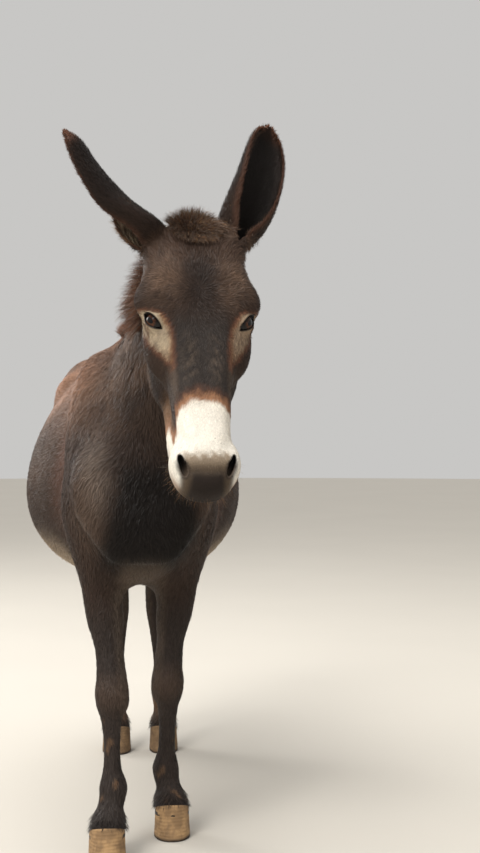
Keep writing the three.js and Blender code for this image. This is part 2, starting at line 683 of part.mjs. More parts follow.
function addLeg(name, x, y, space, joint, upperNet, lowerNet) {
  const f = upright(x, y);
  const hoofTop = coronet(x, y);
  const hoofNet = net(hoofField(x, y), f, [-60, -60, -19], [60, 80, 100], [20, 22, 60]);
  add(name.replace("leg", "upper_leg"), within(net(body, f, ...upperNet), ...space, above(joint)), "coat");
  add(name.replace("leg", "lower_leg"), within(net(body, f, ...lowerNet), below(joint), hoofTop), "coat");
  add(name.replace("leg", "hoof"), within(hoofNet, above(-GAP / 2), flipped(hoofTop)), "hoof");
}
const KNEE = 340;
const STIFLE = 590;
for (const [name, s] of Object.entries(SIDES)) {
  addLeg("fore_leg_" + name, s * FORE_STANCE, foreY(s), foreSpace(s), KNEE,
    [...legBox(s, [110, 150], [260, 260], [KNEE - 40, 740]), [32, 36, 52]],
    [...legBox(s, [70, 70], [85, 80], [30, KNEE + 30]), [18, 19, 40]]);
  addLeg("hind_leg_" + name, hindX(s), HIND_Y, hindSpace(s), STIFLE,
    [...legBox(s, [120, 230], [230, 330], [STIFLE - 40, 1000]), [42, 46, 58]],
    [...legBox(s, [80, 90], [160, 120], [30, STIFLE + 30]), [21, 23, 45]]);
}

// The origin is the middle of the box's floor.
const box = new THREE.Box3().setFromObject(donkey);
const centre = box.getCenter(V(0, 0, 0));
donkey.position.set(-centre.x, -centre.y, -box.min.z);

export default donkey;
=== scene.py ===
"""A life-size standing donkey, dressed over its packed solids.

The flesh is one smooth field of ovals and ellipsoids. One skin is drawn on that
field, a coat's depth inside the solids. Short hair, mane, forelock, tail, ear
fringes, whiskers and lashes are laid over the skin as mesh. The shapes are given
in millimetres in the solids' own working frame, where the animal faces -Y, and
go to metres in the shared frame when a piece is made.
"""

from __future__ import annotations

import json
import logging
import math
from dataclasses import dataclass, fields
from enum import Enum
from typing import Callable, Sequence

import bmesh
import bpy
import numpy as np
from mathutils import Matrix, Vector
from mathutils.kdtree import KDTree

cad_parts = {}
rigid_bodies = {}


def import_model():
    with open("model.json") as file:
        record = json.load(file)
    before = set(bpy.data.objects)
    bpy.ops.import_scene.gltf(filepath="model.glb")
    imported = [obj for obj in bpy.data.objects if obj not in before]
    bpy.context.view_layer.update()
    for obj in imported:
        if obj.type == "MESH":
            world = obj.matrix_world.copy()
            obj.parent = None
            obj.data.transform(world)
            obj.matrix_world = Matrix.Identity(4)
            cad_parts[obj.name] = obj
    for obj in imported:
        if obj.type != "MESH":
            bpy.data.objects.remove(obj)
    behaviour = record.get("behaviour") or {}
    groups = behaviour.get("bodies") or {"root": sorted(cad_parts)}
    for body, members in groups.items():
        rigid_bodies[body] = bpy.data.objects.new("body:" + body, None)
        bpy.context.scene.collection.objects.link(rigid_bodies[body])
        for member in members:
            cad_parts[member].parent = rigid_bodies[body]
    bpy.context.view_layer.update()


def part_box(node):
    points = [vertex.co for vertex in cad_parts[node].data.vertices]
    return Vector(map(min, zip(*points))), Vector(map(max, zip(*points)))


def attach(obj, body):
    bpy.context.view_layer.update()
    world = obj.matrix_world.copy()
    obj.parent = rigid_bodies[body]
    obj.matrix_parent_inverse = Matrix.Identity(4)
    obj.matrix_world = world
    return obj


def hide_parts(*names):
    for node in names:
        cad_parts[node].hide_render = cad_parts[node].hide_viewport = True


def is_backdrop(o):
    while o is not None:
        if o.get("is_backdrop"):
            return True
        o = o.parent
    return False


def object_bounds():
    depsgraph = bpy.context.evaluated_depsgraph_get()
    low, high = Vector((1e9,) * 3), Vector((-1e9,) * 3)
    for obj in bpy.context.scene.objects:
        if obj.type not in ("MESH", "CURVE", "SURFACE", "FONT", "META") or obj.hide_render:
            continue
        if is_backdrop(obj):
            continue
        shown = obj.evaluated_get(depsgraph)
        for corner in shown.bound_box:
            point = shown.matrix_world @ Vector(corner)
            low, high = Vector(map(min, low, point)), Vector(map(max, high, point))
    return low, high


LOG = logging.getLogger("donkey")
MM = 0.001
Array = np.ndarray
Field = Callable[[Array], Array]
Mesh = bpy.types.Mesh
Object = bpy.types.Object
Socket = bpy.types.NodeSocket
SIDES: dict[str, int] = {"left": 1, "right": -1}
FACE_Y = -400.0  # the face is in front of it
MUZZLE_Y = -420.0  # the muzzle and chin are in front of it
FORE_TO_HIND_Y = 400.0  # between the fore and the hind legs
TAIL_Y = 1045.0  # the tail hangs behind it


# --------------------------------------------------------------------- fields
def unit(vectors: Array) -> Array:
    """Vectors, one or a list of them, scaled to a length of one.

    Args:
        vectors: One vector, or rows of them.

    Returns:
        The scaled vectors.
    """
    vectors = np.asarray(vectors, float)
    length = np.linalg.norm(vectors, axis=-1, keepdims=True)
    return vectors / np.maximum(length, 1e-9)


def smooth_step(values: Array, start: float, end: float) -> Array:
    """0 before start, 1 after end, and a smooth ramp between them."""
    t = np.clip((np.asarray(values, float) - start) / (end - start), 0.0, 1.0)
    return t * t * (3.0 - 2.0 * t)


def bump(values: Array, centre: float, reach: float) -> Array:
    """A smooth bump of height 1 around a centre, gone at the reach."""
    t = np.clip(np.abs(np.asarray(values, float) - centre) / reach, 0.0, 1.0)
    return (1.0 - t * t) ** 2


def smooth_min(a: Array, b: Array, width: float) -> Array:
    """The lower of two fields, blended over a width."""
    h = np.maximum(width - np.abs(a - b), 0.0) / width
    return np.minimum(a, b) - h * h * width / 4.0


def smooth_max(a: Array, b: Array, width: float) -> Array:
    """The higher of two fields, blended over a width."""
    return -smooth_min(-a, -b, width)


@dataclass(frozen=True)
class Axes:
    """Three unit axes at an origin: to the side, up out of a part, and along it."""

    origin: Array
    side: Array
    up: Array
    along: Array

    @classmethod
    def make(cls, origin: Sequence[float], along: Sequence[float], up: Sequence[float]) -> Axes:
        """Builds the axes of a part.

        Args:
            origin: Where the part starts.
            along: Direction of the part.
            up: Rough direction out of the part, squared to along.

        Returns:
            The axes, with the side axis pointing to the animal's left.
        """
        a = unit(along)
        u = np.asarray(up, float)
        u = unit(u - a * float(u @ a))
        side = np.cross(a, u)
        if side[0] < 0:
            side = -side
        return cls(np.asarray(origin, float), side, u, a)

    def at(self, side: float, up: float, along: float) -> Array:
        """The point at these distances along the three axes."""
        return self.origin + side * self.side + up * self.up + along * self.along

    def local(self, points: Array) -> Array:
        """Points as columns of side, up and along."""
        return (points - self.origin) @ np.stack([self.side, self.up, self.along], axis=1)

    def turned(self, vectors: Array) -> Array:
        """Directions given as side, up and along, turned to the working frame."""
        return np.asarray(vectors, float) @ np.stack([self.side, self.up, self.along])


class Section:
    """A smooth curve through rows of numbers whose first entry is the position."""

    def __init__(self, rows: Sequence[Sequence[float]], samples: int = 160) -> None:
        """Tabulates the curve.

        Args:
            rows: Positions in rising order, each with its numbers.
            samples: How many steps the table has.
        """
        columns = len(rows[0])
        table = np.array([row[:columns] for row in rows], float)
        place = table[:, 0]
        self.first, self.last, self.samples = place[0], place[-1], samples
        before = np.maximum(np.arange(len(table)) - 1, 0)
        after = np.minimum(np.arange(len(table)) + 1, len(table) - 1)
        slope = (table[after] - table[before]) / (place[after] - place[before])[:, None]
        t = np.linspace(self.first, self.last, samples + 1)
        i = np.clip(np.searchsorted(place, t, side="left") - 1, 0, len(table) - 2)
        h = (place[i + 1] - place[i])[:, None]
        s = (t - place[i])[:, None] / h
        hold = s * s * (3 - 2 * s)
        swing = h * s * (1 - s) * (slope[i] * (1 - s) - slope[i + 1] * s)
        self.table = table[i] + (table[i + 1] - table[i]) * hold + swing

    def __call__(self, positions: Array) -> Array:
        """The row of numbers at each position, clamped to the curve's ends.

        Args:
            positions: Positions along the rows.

        Returns:
            A row of numbers for each position.
        """
        share = (np.asarray(positions, float) - self.first) / (self.last - self.first)
        k = np.clip(share * self.samples, 0, self.samples - 1e-9)
        i = k.astype(int)
        return self.table[i] + (self.table[i + 1] - self.table[i]) * (k - i)[..., None]


class Loft:
    """Oval sections stacked along an axis, as a field that is negative inside."""

    def __init__(
        self,
        axes: Axes,
        rows: Sequence[Sequence[float]],
        powers: tuple[float, float] = (2.0, 2.0),
        caps: tuple[float, float] = (30.0, 30.0),
    ) -> None:
        """Keeps the sections.

        Args:
            axes: The part's axes.
            rows: Position, centre to the side, centre up, half width, height
                above, depth below, and an upper power where it varies.
            powers: How square the upper and lower halves of a section are.
            caps: Length of the rounded start and end.
        """
        self.axes, self.section, self.powers, self.caps = axes, Section(rows), powers, caps

    def bounds(self) -> tuple[Array, Array]:
        """Lowest and highest corner of a box around the part.

        Returns:
            The two corners.
        """
        row, a = self.section.table, self.axes
        middle = a.origin + row[:, :1] * a.along + row[:, 1:2] * a.side + row[:, 2:3] * a.up
        reach = row[:, 3:4] * np.abs(a.side) + row[:, 4:6].max(axis=1)[:, None] * np.abs(a.up)
        reach = reach + max(self.caps) * np.abs(a.along)
        return (middle - reach).min(axis=0), (middle + reach).max(axis=0)

    def __call__(self, points: Array) -> Array:
        """Signed distance, roughly, from each point to the part.

        Args:
            points: Places, one row each.

        Returns:
            The distances, negative inside.
        """
        local = self.axes.local(points)
        held = np.clip(local[:, 2], self.section.first, self.section.last)
        row = self.section(held)
        u, v, w = local[:, 0] - row[:, 1], local[:, 1] - row[:, 2], local[:, 2] - held
        peak = row[:, 6] if row.shape[1] > 6 else self.powers[0]
        power = np.where(v > 0, peak, self.powers[1])
        reach = np.where(v > 0, row[:, 4], row[:, 5])
        oval = (np.abs(u / row[:, 3]) ** power + np.abs(v / reach) ** power) ** (1 / power)
        grown = np.hypot(oval, w / np.where(w > 0, self.caps[1], self.caps[0]))
        return np.sqrt(u * u + v * v + w * w) * (1 - 1 / np.maximum(grown, 1e-3))


class Blob:
    """An ellipsoid of muscle, bone or hair."""

    def __init__(self, axes: Axes, radii: Sequence[float]) -> None:
        """Keeps the ellipsoid's axes and its radii to the side, up and along."""
        self.axes, self.radii = axes, np.asarray(radii, float)

    def bounds(self) -> tuple[Array, Array]:
        """Lowest and highest corner of a box around the ellipsoid.

        Returns:
            The two corners.
        """
        a = self.axes
        reach = sum(r * np.abs(axis) for r, axis in zip(self.radii, (a.side, a.up, a.along)))
        return a.origin - reach, a.origin + reach

    def __call__(self, points: Array) -> Array:
        """Signed distance, roughly, from each point to the ellipsoid.

        Args:
            points: Places, one row each.

        Returns:
            The distances, negative inside.
        """
        local = self.axes.local(points)
        grown = np.linalg.norm(local / self.radii, axis=1)
        return np.linalg.norm(local, axis=1) * (1 - 1 / np.maximum(grown, 1e-3))


def apply_near(value: Array, points: Array, box: tuple[Array, Array], change: Callable[[Array, Array], Array]) -> None:
    """Changes values only where points lie in a box, from those values and points.

    Args:
        value: The values, which are changed in place.
        points: Places, one row each.
        box: The box's lowest and highest corner.
        change: Gives new values from the old ones and their places.
    """
    near = ((points > box[0]) & (points < box[1])).all(axis=1)
    if near.any():
        value[near] = change(value[near], points[near])


class Blend:
    """Several fields blended in order, each over its own width."""

    FAR = 1000.0  # value away from every part
    MARGIN = 75.0  # how far around a part it is still worked out

    def __init__(self, parts: Sequence[tuple[Field, float]]) -> None:
        """Keeps the fields and their blend widths."""
        self.parts = list(parts)

    def bounds(self) -> tuple[Array, Array]:
        """Lowest and highest corner of a box around all the parts."""
        boxes = [part.bounds() for part, _ in self.parts]
        return np.min([low for low, _ in boxes], axis=0), np.max([high for _, high in boxes], axis=0)

    def __call__(self, points: Array) -> Array:
        """The blended field at each point.

        Args:
            points: Places, one row each.

        Returns:
            The values, negative inside.
        """
        value = np.full(len(points), self.FAR)
        for part, width in self.parts:
            low, high = part.bounds()
            reach = self.MARGIN + width
            apply_near(value, points, (low - reach, high + reach), lambda v, p: smooth_min(v, part(p), width))
        return value


class Nearest(Blend):
    """Several fields side by side, with no blending."""

    def __init__(self, parts: Sequence[Field]) -> None:
        """Keeps the fields, with the least of widths between them."""
        super().__init__([(part, 1e-3) for part in parts])


# ------------------------------------------------------------------- anatomy
X_AXIS, Y_AXIS, Z_AXIS = np.eye(3)


@dataclass(frozen=True)
class Build:
    """Driving sizes of the animal, in millimetres in the working frame."""

    withers: float = 1112.0
    croup: float = 1098.0
    belly: float = 533.0
    barrel_half: float = 262.0
    fore_stance: float = 71.0
    hind_stance: float = 65.0
    fore_y: float = 42.0
    stagger: float = 77.0
    hind_y: float = 890.0
    hind_shift: float = 18.0
    hoof_top: float = 62.0
    head_tilt: float = math.radians(27.0)
    head_yaw: float = math.radians(4.5)
    head_lean: float = math.radians(1.4)
    poll: tuple[float, float, float] = (90.0, -410.0, 1255.0)
    eye_radius: float = 20.0
    eye_place: tuple[float, float, float] = (75.0, -27.0, 180.0)
    ear_length: float = 278.0


BUILD = Build()
TRUNK_ROWS = (
    (-140, 0, 765, 96, 125, 120, 2),
    (-60, 0, 775, 128, 190, 188, 1.8),
    (40, 0, 770, 150, 300, 208, 1.55),
    (110, 0, 768, 170, BUILD.withers - 768, 214, 1.5),
    (250, -4, 755, 226, 338, 212, 1.62),
    (430, -8, 745, BUILD.barrel_half, 335, 745 - BUILD.belly, 1.75),
    (600, -8, 765, 256, 326, 225, 1.8),
    (740, -4, 820, 226, 276, 232, 1.75),
    (850, 0, 860, 200, BUILD.croup - 860, 205, 1.85),
    (950, 0, 880, 158, 184, 148, 2),
    (1010, 0, 895, 110, 126, 98, 2),
)
NECK_SHARES = (
    (0, 0, -4, 112, 192, 214, 1.5),
    (0.25, -6, 2, 98, 170, 196, 1.55),
    (0.5, -8, 5, 84, 149, 165, 1.65),
    (0.75, -4, 4, 74, 128, 132, 1.8),
    (1, 0, 0, 64, 108, 106, 2),
)
FACE_ROWS = (
    (0, 0, -52, 68, 50, 62),
    (56, 0, -50, 94, 60, 76),
    (116, 0, -48, 104, 66, 82),
    (172, 0, -50, 97, 60, 80),
    (222, 0, -56, 80, 54, 72),
    (266, 0, -61, 65, 51, 64),
    (311, 0, -65, 55, 50, 56),
    (360, 0, -68, 49, 50, 51),
    (402, 0, -70, 48, 50, 47),
    (440, 0, -72, 52, 49, 45),
    (466, 0, -77, 48, 45, 41),
)
JAW_ROWS = (
    (98, 0, -135, 54, 60, 66),
    (158, 0, -152, 68, 70, 74),
    (216, 0, -148, 70, 62, 64),
    (266, 0, -139, 65, 50, 51),
    (311, 0, -130, 59, 44, 42),
    (350, 0, -121, 57, 40, 35),
    (390, 0, -113, 57, 38, 34),
    (432, 0, -112, 49, 34, 32),
    (455, 0, -112, 40, 28, 26),
)
HEAD_BULGES = (
    # side, up, along, radii, blend: cheek, brow, cheek bone, nostril wing, ear root
    (56, -122, 190, (28, 80, 88), 30),
    (82, -30, 136, (31, 28, 33), 26),
    (70, -66, 207, (25, 28, 52), 30),
    (42, -66, 438, (19, 30, 32), 20),
    (58, -40, 24, (36, 38, 40), 26),
)
FORE_ROWS = (
    (50, 0, -2, 34, 38, 36),
    (90, -4, 10, 27, 27, 29),
    (122, -11, 24, 28.5, 27, 33),
    (146, -13, 28, 28.5, 29, 34),
    (180, -11, 30, 20, 23, 29),
    (235, -10, 29, 19, 21, 29),
    (285, -9, 27, 25, 25, 29),
    (312, -11, 24, 35, 36, 32),
    (340, -10, 22, 37, 39, 36),
    (376, -9, 24, 33, 34, 37),
    (430, -4, 28, 32, 34, 36),
    (490, 4, 34, 42, 43, 45),
    (545, 11, 42, 46, 56, 58),
    (600, 17, 50, 50, 72, 74),
    (660, 23, 56, 51, 86, 84),
    (720, 28, 56, 50, 90, 86),
)
HIND_ROWS = (
    (50, 0, 0, 33, 38, 36),
    (90, 0, 13, 26, 26, 30),
    (122, 0, 28, 28, 27, 34),
    (148, -1, 34, 29, 30, 35),
    (184, -2, 42, 22, 25, 30),
    (250, -4, 52, 21, 24, 31),
    (320, -9, 62, 24, 26, 35),
    (372, -12, 71, 29, 33, 42),
    (412, -11, 79, 32, 41, 47),
    (452, -10, 86, 32, 44, 49),
    (486, -9, 84, 28, 43, 52),
    (525, -3, 66, 29, 46, 46),
    (575, 10, 40, 37, 60, 58),
    (635, 28, 8, 52, 80, 84),
    (700, 44, -16, 66, 104, 120),
    (780, 52, -24, 78, 122, 160),
    (860, 56, -8, 84, 118, 160),
    (930, 56, 10, 80, 100, 130),
)
TAIL_ROWS = (
    (345, 78, -34, 8, 8, 8),
    (410, 77, -34, 26, 24, 24),
    (520, 72, -32, 32, 30, 30),
    (620, 60, -30, 25, 25, 25),
    (700, 46, -30, 19, 19, 19),
    (800, 27, -27, 20, 20, 20),
    (900, 9, -18, 23, 23, 23),
    (955, 0, 6, 26, 28, 27),
    (985, 0, 42, 29, 34, 30),
)
HOOF_ROWS = (
    (-20, 0, 8, 40.5, 56, 45),
    (0, 0, 7, 40, 55, 45),
    (40, 0, 2, 38, 45, 41),
    (90, 0, -3, 36, 36, 37),
)
EAR_ROWS = (
    # share of length, half width, depth of the back, turn from the back to an edge
    (0, 29, 28, 165),
    (0.1, 40, 32, 155),
    (0.2, 47, 32, 140),
    (0.38, 51, 29, 122),
    (0.58, 50, 25, 108),
    (0.72, 47, 22, 100),
    (0.85, 38, 20, 94),
    (0.95, 24, 14, 90),
    (1, 11, 9, 90),
)


@dataclass(frozen=True)
class EarPose:
    """Where an ear is rooted on the head, and how it stands and turns."""

    seat: tuple[float, float, float]
    to: tuple[float, float, float]
    opening: tuple[float, float, float]
    bow: tuple[float, float]
    twist: float  # degrees by which its upper half is turned


EAR_POSES = {
    1: EarPose((68, -36, 6), (0.32, 0.32, 0.91), (0.3, -0.95, 0), (9, 16), 9),
    -1: EarPose((-60, -36, 12), (-0.64, -0.04, 0.75), (-0.68, -0.42, -0.6), (-2, 21), -43),
}


class Ear:
    """One ear: an open shell of cartilage and skin, as a field."""

    WALL = 8.0  # of the ear with its hair
    SKIN = 5.6  # of the ear without its hair, at the base
    TWISTED = (0.08, 0.5)  # shares of the length between which the twist grows
    REACH = 0.975  # of the skin, as a share of the length with hair

    def __init__(self, head: Axes, pose: EarPose) -> None:
        """Stands the ear on the head's axes.

        Args:
            head: The head's axes.
            pose: Where the ear stands and how it is turned.
        """
        self.head, self.s = head, math.copysign(1, pose.seat[0])
        self.axes = Axes.make(head.at(*pose.seat), pose.to, pose.opening)
        self.section = Section(EAR_ROWS)
        self.bow, self.twist = pose.bow, math.radians(pose.twist)
        self.length = self.REACH * BUILD.ear_length

    def shape(self, share: Array) -> tuple[Array, Array, Array, Array, Array]:
        """Half width, depth, edge turn, sway and lift of the wall's middle.

        Args:
            share: Shares of the ear's length.

        Returns:
            The five measures, each with one value for each share.
        """
        row = self.section(share)
        inset = np.minimum(self.WALL, row[..., 2] * 0.8) / 2
        swing = np.sin(np.pi * share)
        edge = np.radians(row[..., 3])
        closed = 1 - 0.6 * smooth_step(share, 0.9, 1.0)
        half, depth = (row[..., 1] - inset) * closed, (row[..., 2] - inset) * closed
        return half, depth, edge, self.bow[0] * swing, self.bow[1] * swing

    def _twisted(self, u: Array, v: Array, share: Array, way: int) -> tuple[Array, Array]:
        """Turns places across the ear by its twist, one way or back."""
        angle = way * self.twist * smooth_step(share, *self.TWISTED)
        return u * np.cos(angle) - v * np.sin(angle), u * np.sin(angle) + v * np.cos(angle)

    def surrounds(self, points: Array) -> Array:
        """Which points are on this ear or close to it, on its own side of the head."""
        own = self.head.local(points)[:, 0] * self.s > 0
        return own & (np.linalg.norm(points - self.axes.at(0, 0, self.length / 2), axis=1) < 0.7 * self.length)

    def coordinates(self, points: Array) -> tuple[Array, Array, Array]:
        """Share of the length, turn as a share of the edge, and distance inwards.

        Args:
            points: Places, one row each.

        Returns:
            The shares, the turns and the distances.
        """
        local = self.axes.local(points)
        share = np.clip(local[:, 2] / self.length, 0, 1)
        half, depth, edge, sway, lift = self.shape(share)
        u, v = self._twisted(local[:, 0] - sway, lift - local[:, 1], share, -1)
        u, v = u / half, v / depth
        turn = np.arctan2(u, v)
        inwards = (1 - np.hypot(u, v)) * np.minimum(half, depth)
        return share, turn / edge, inwards

    def place(self, share: Array, turn: Array, inwards: Array) -> Array:
        """Points of the working frame from shares, turns and distances inwards.

        Args:
            share: Shares of the ear's length.
            turn: Turns as shares of the edge.
            inwards: Distances inwards from the middle of the wall.

        Returns:
            The places, one row each.
        """
        half, depth, edge, sway, lift = self.shape(share)
        angle = turn * edge
        u, v = self._twisted((half - inwards) * np.sin(angle), (depth - inwards) * np.cos(angle), share, 1)
        local = np.stack([sway + u, lift - v, share * self.length], axis=-1)
        return self.axes.origin + self.axes.turned(local)

    def __call__(self, points: Array) -> Array:
        """Signed distance, roughly, from each point to the ear's skin.

        Args:
            points: Places, one row each.

        Returns:
            The distances, negative inside the wall.
        """
        local = self.axes.local(points)
        share = np.clip(local[:, 2] / self.length, -0.05, 0.985)
        half, depth, edge, sway, lift = self.shape(np.clip(share, 0, 1))
        u, v = self._twisted(local[:, 0] - sway, lift - local[:, 1], share, -1)
        held = np.clip(np.arctan2(u / half, v / depth), -edge, edge)
        gap = np.stack([u - half * np.sin(held), v - depth * np.cos(held), local[:, 2] - share * self.length])
        slim = 1 - 0.22 * np.abs(held / edge) ** 3 - 0.12 * smooth_step(share, 0.5, 1.0)
        return np.linalg.norm(gap, axis=0) - self.SKIN / 2 * slim


class Anatomy:
    """The fields of the whole animal, and the axes of its parts."""

    def __init__(self) -> None:
        """Builds every field from the rows of sizes."""
        b = BUILD
        poll = np.array(b.poll)
        neck_base = np.array([0.0, 55.0, 885.0])
        neck_end = poll + (0, 70, -105)
        self.world = Axes.make((0, 0, 0), Y_AXIS, Z_AXIS)
        self.neck_axes = Axes.make(neck_base, neck_end - neck_base, Z_AXIS)
        self.neck_length = float(np.linalg.norm(neck_end - neck_base))
        tilt, yaw = b.head_tilt, b.head_yaw
        along = (math.sin(b.head_lean), -math.sin(tilt) * math.cos(yaw), -math.cos(tilt))
        up = (math.cos(tilt) * math.sin(yaw), -math.cos(tilt) * math.cos(yaw), math.sin(tilt))
        self.head_axes = Axes.make(poll, along, up)
        self.trunk = Loft(self.world, TRUNK_ROWS, (2, 2.15), (58, 40))
        self.neck_rows = [(t * self.neck_length, *rest) for t, *rest in NECK_SHARES]
        self.neck = Loft(self.neck_axes, self.neck_rows, (2, 2.1), (80, 60))
        self.head = self._head()
        self.ears = {s: Ear(self.head_axes, pose) for s, pose in EAR_POSES.items()}
        self.fore = {s: self._leg(FORE_ROWS, s * b.fore_stance, self.fore_y(s), self._lean(s), 0.0) for s in (1, -1)}
        self.hind = {s: self._leg(HIND_ROWS, self.hind_x(s), b.hind_y, 0.0, -b.hind_shift) for s in (1, -1)}
        self.legs = Nearest([*self.fore.values(), *self.hind.values()])
        self.tail_axes = self.upright(0, 1066)
        self.tail = Loft(self.tail_axes, TAIL_ROWS, caps=(14, 20))
        self.forelock = Blob(self._on_head(0, 0, -16), (40, 38, 38))
        self.mane_rows = [
            (-70, 0, 150, 11, 22, 30),
            *((t, side - 6, rise + above * 0.97, 15, 42, 40) for t, side, rise, _, above, *_ in self.neck_rows),
            (self.neck_length + 55, 0, 84, 15, 34, 34),
        ]
        self.mane = Loft(self.neck_axes, self.mane_rows, caps=(30, 12))
        fall = Axes.make(self.neck_axes.at(-62, 66, 0.86 * self.neck_length), self.neck_axes.along, self.neck_axes.up)
        self.mane_fall = Blob(fall, (46, 66, 64))
        self.flesh_parts = [
            (self.trunk, 1),
            *self._trunk_muscles(1),
            *self._trunk_muscles(-1),
            (self.neck, 95),
            (self.head, 40),
            (self.legs, 62),
        ]
        self.flesh = Blend(self.flesh_parts)
        self.body = Blend(
            [*self.flesh_parts, (self.mane_fall, 40), (self.mane, 14), (self.forelock, 14), (self.tail, 14)]
        )

    @staticmethod
    def upright(x: float, y: float) -> Axes:
        """Axes of something that stands at x, y: along is up, and up is forward."""
        return Axes.make((x, y, 0), Z_AXIS, -Y_AXIS)

    @staticmethod
    def fore_y(s: int) -> float:
        """Distance back to a fore hoof: 1 is the left one and -1 the right."""
        return BUILD.fore_y + s * BUILD.stagger

    @staticmethod
    def hind_x(s: int) -> float:
        """Distance to the left of a hind hoof."""
        return s * BUILD.hind_stance + BUILD.hind_shift

    def feet(self) -> list[tuple[str, str, float, float]]:
        """Pair, side and place on the floor of each hoof.

        Returns:
            One row for each of the four hooves.
        """
        found = []
        for name, s in SIDES.items():
            found.append(("fore", name, s * BUILD.fore_stance, self.fore_y(s)))
            found.append(("hind", name, self.hind_x(s), BUILD.hind_y))
        return found

    @staticmethod
    def _lean(s: int) -> float:
        """How far back the top of a fore leg stands from its hoof."""
        return -0.8 * s * BUILD.stagger - 0.6 * BUILD.fore_y

    def _leg(self, rows: Sequence[Sequence[float]], x: float, y: float, lean: float, drift: float) -> Loft:
        """A leg over a hoof at x, y, with its upper rows carried back by the lean and left by the drift.

        Args:
            rows: The leg's rows, from the hoof up.
            x: The hoof's place to the left.
            y: The hoof's place to the back.
            lean: How far back the top row is carried.
            drift: How far left the top row is carried.

        Returns:
            The leg.
        """
        s, top = math.copysign(1.0, x), rows[-1][0]
        leaned = []
        for z, out, back, half, front, rear in rows:
            share = max(0.0, (z - 110) / (top - 110))
            leaned.append((z, s * out + drift * share, -(back + lean * share), half, front, rear))
        return Loft(self.upright(x, y), leaned, (2.1, 2.1), (20, 60))

    def _on_head(self, side: float, up: float, along: float) -> Axes:
        """The head's axes, moved to a place on it."""
        h = self.head_axes
        return Axes.make(h.at(side, up, along), h.along, h.up)

    def _head(self) -> Blend:
        """The head's field: face, jaw and the bulges of muscle and bone.

        Returns:
            The field.
        """
        parts: list[tuple[Field, float]] = [
            (Loft(self.head_axes, FACE_ROWS, (2.7, 2.2), (45, 32)), 1),
            (Loft(self.head_axes, JAW_ROWS, (2, 2.2), (45, 20)), 28),
        ]
        for s in (1, -1):
            parts += [(Blob(self._on_head(s * side, up, along), radii), k) for side, up, along, radii, k in HEAD_BULGES]
        return Blend(parts)

    @staticmethod
    def _trunk_muscles(s: int) -> list[tuple[Field, float]]:
        """Muscle and bone that shows under the trunk's coat, for one side.

        Args:
            s: The side: 1 is left and -1 is right.

        Returns:
            Each form with the width of its blend.
        """
        rows = (
            ((94, 20, 890), (56, 90, 180), (0, 0.42, 1), 70),
            ((88, -120, 775), (62, 62, 85), Z_AXIS, 50),
            ((100, 40, 740), (52, 100, 105), (0, 0.3, 1), 55),
            ((46, -146, 700), (50, 40, 84), Z_AXIS, 60),
            ((118, 850, 935), (98, 170, 150), (0, 0.25, 1), 70),
            ((168, 705, 985), (38, 48, 44), Z_AXIS, 60),
            ((92, 985, 900), (62, 66, 110), Z_AXIS, 50),
        )
        return [
            (Blob(Axes.make((s * x, y, z), tilt, Y_AXIS), radii), width) for (x, y, z), radii, tilt, width in rows
        ]


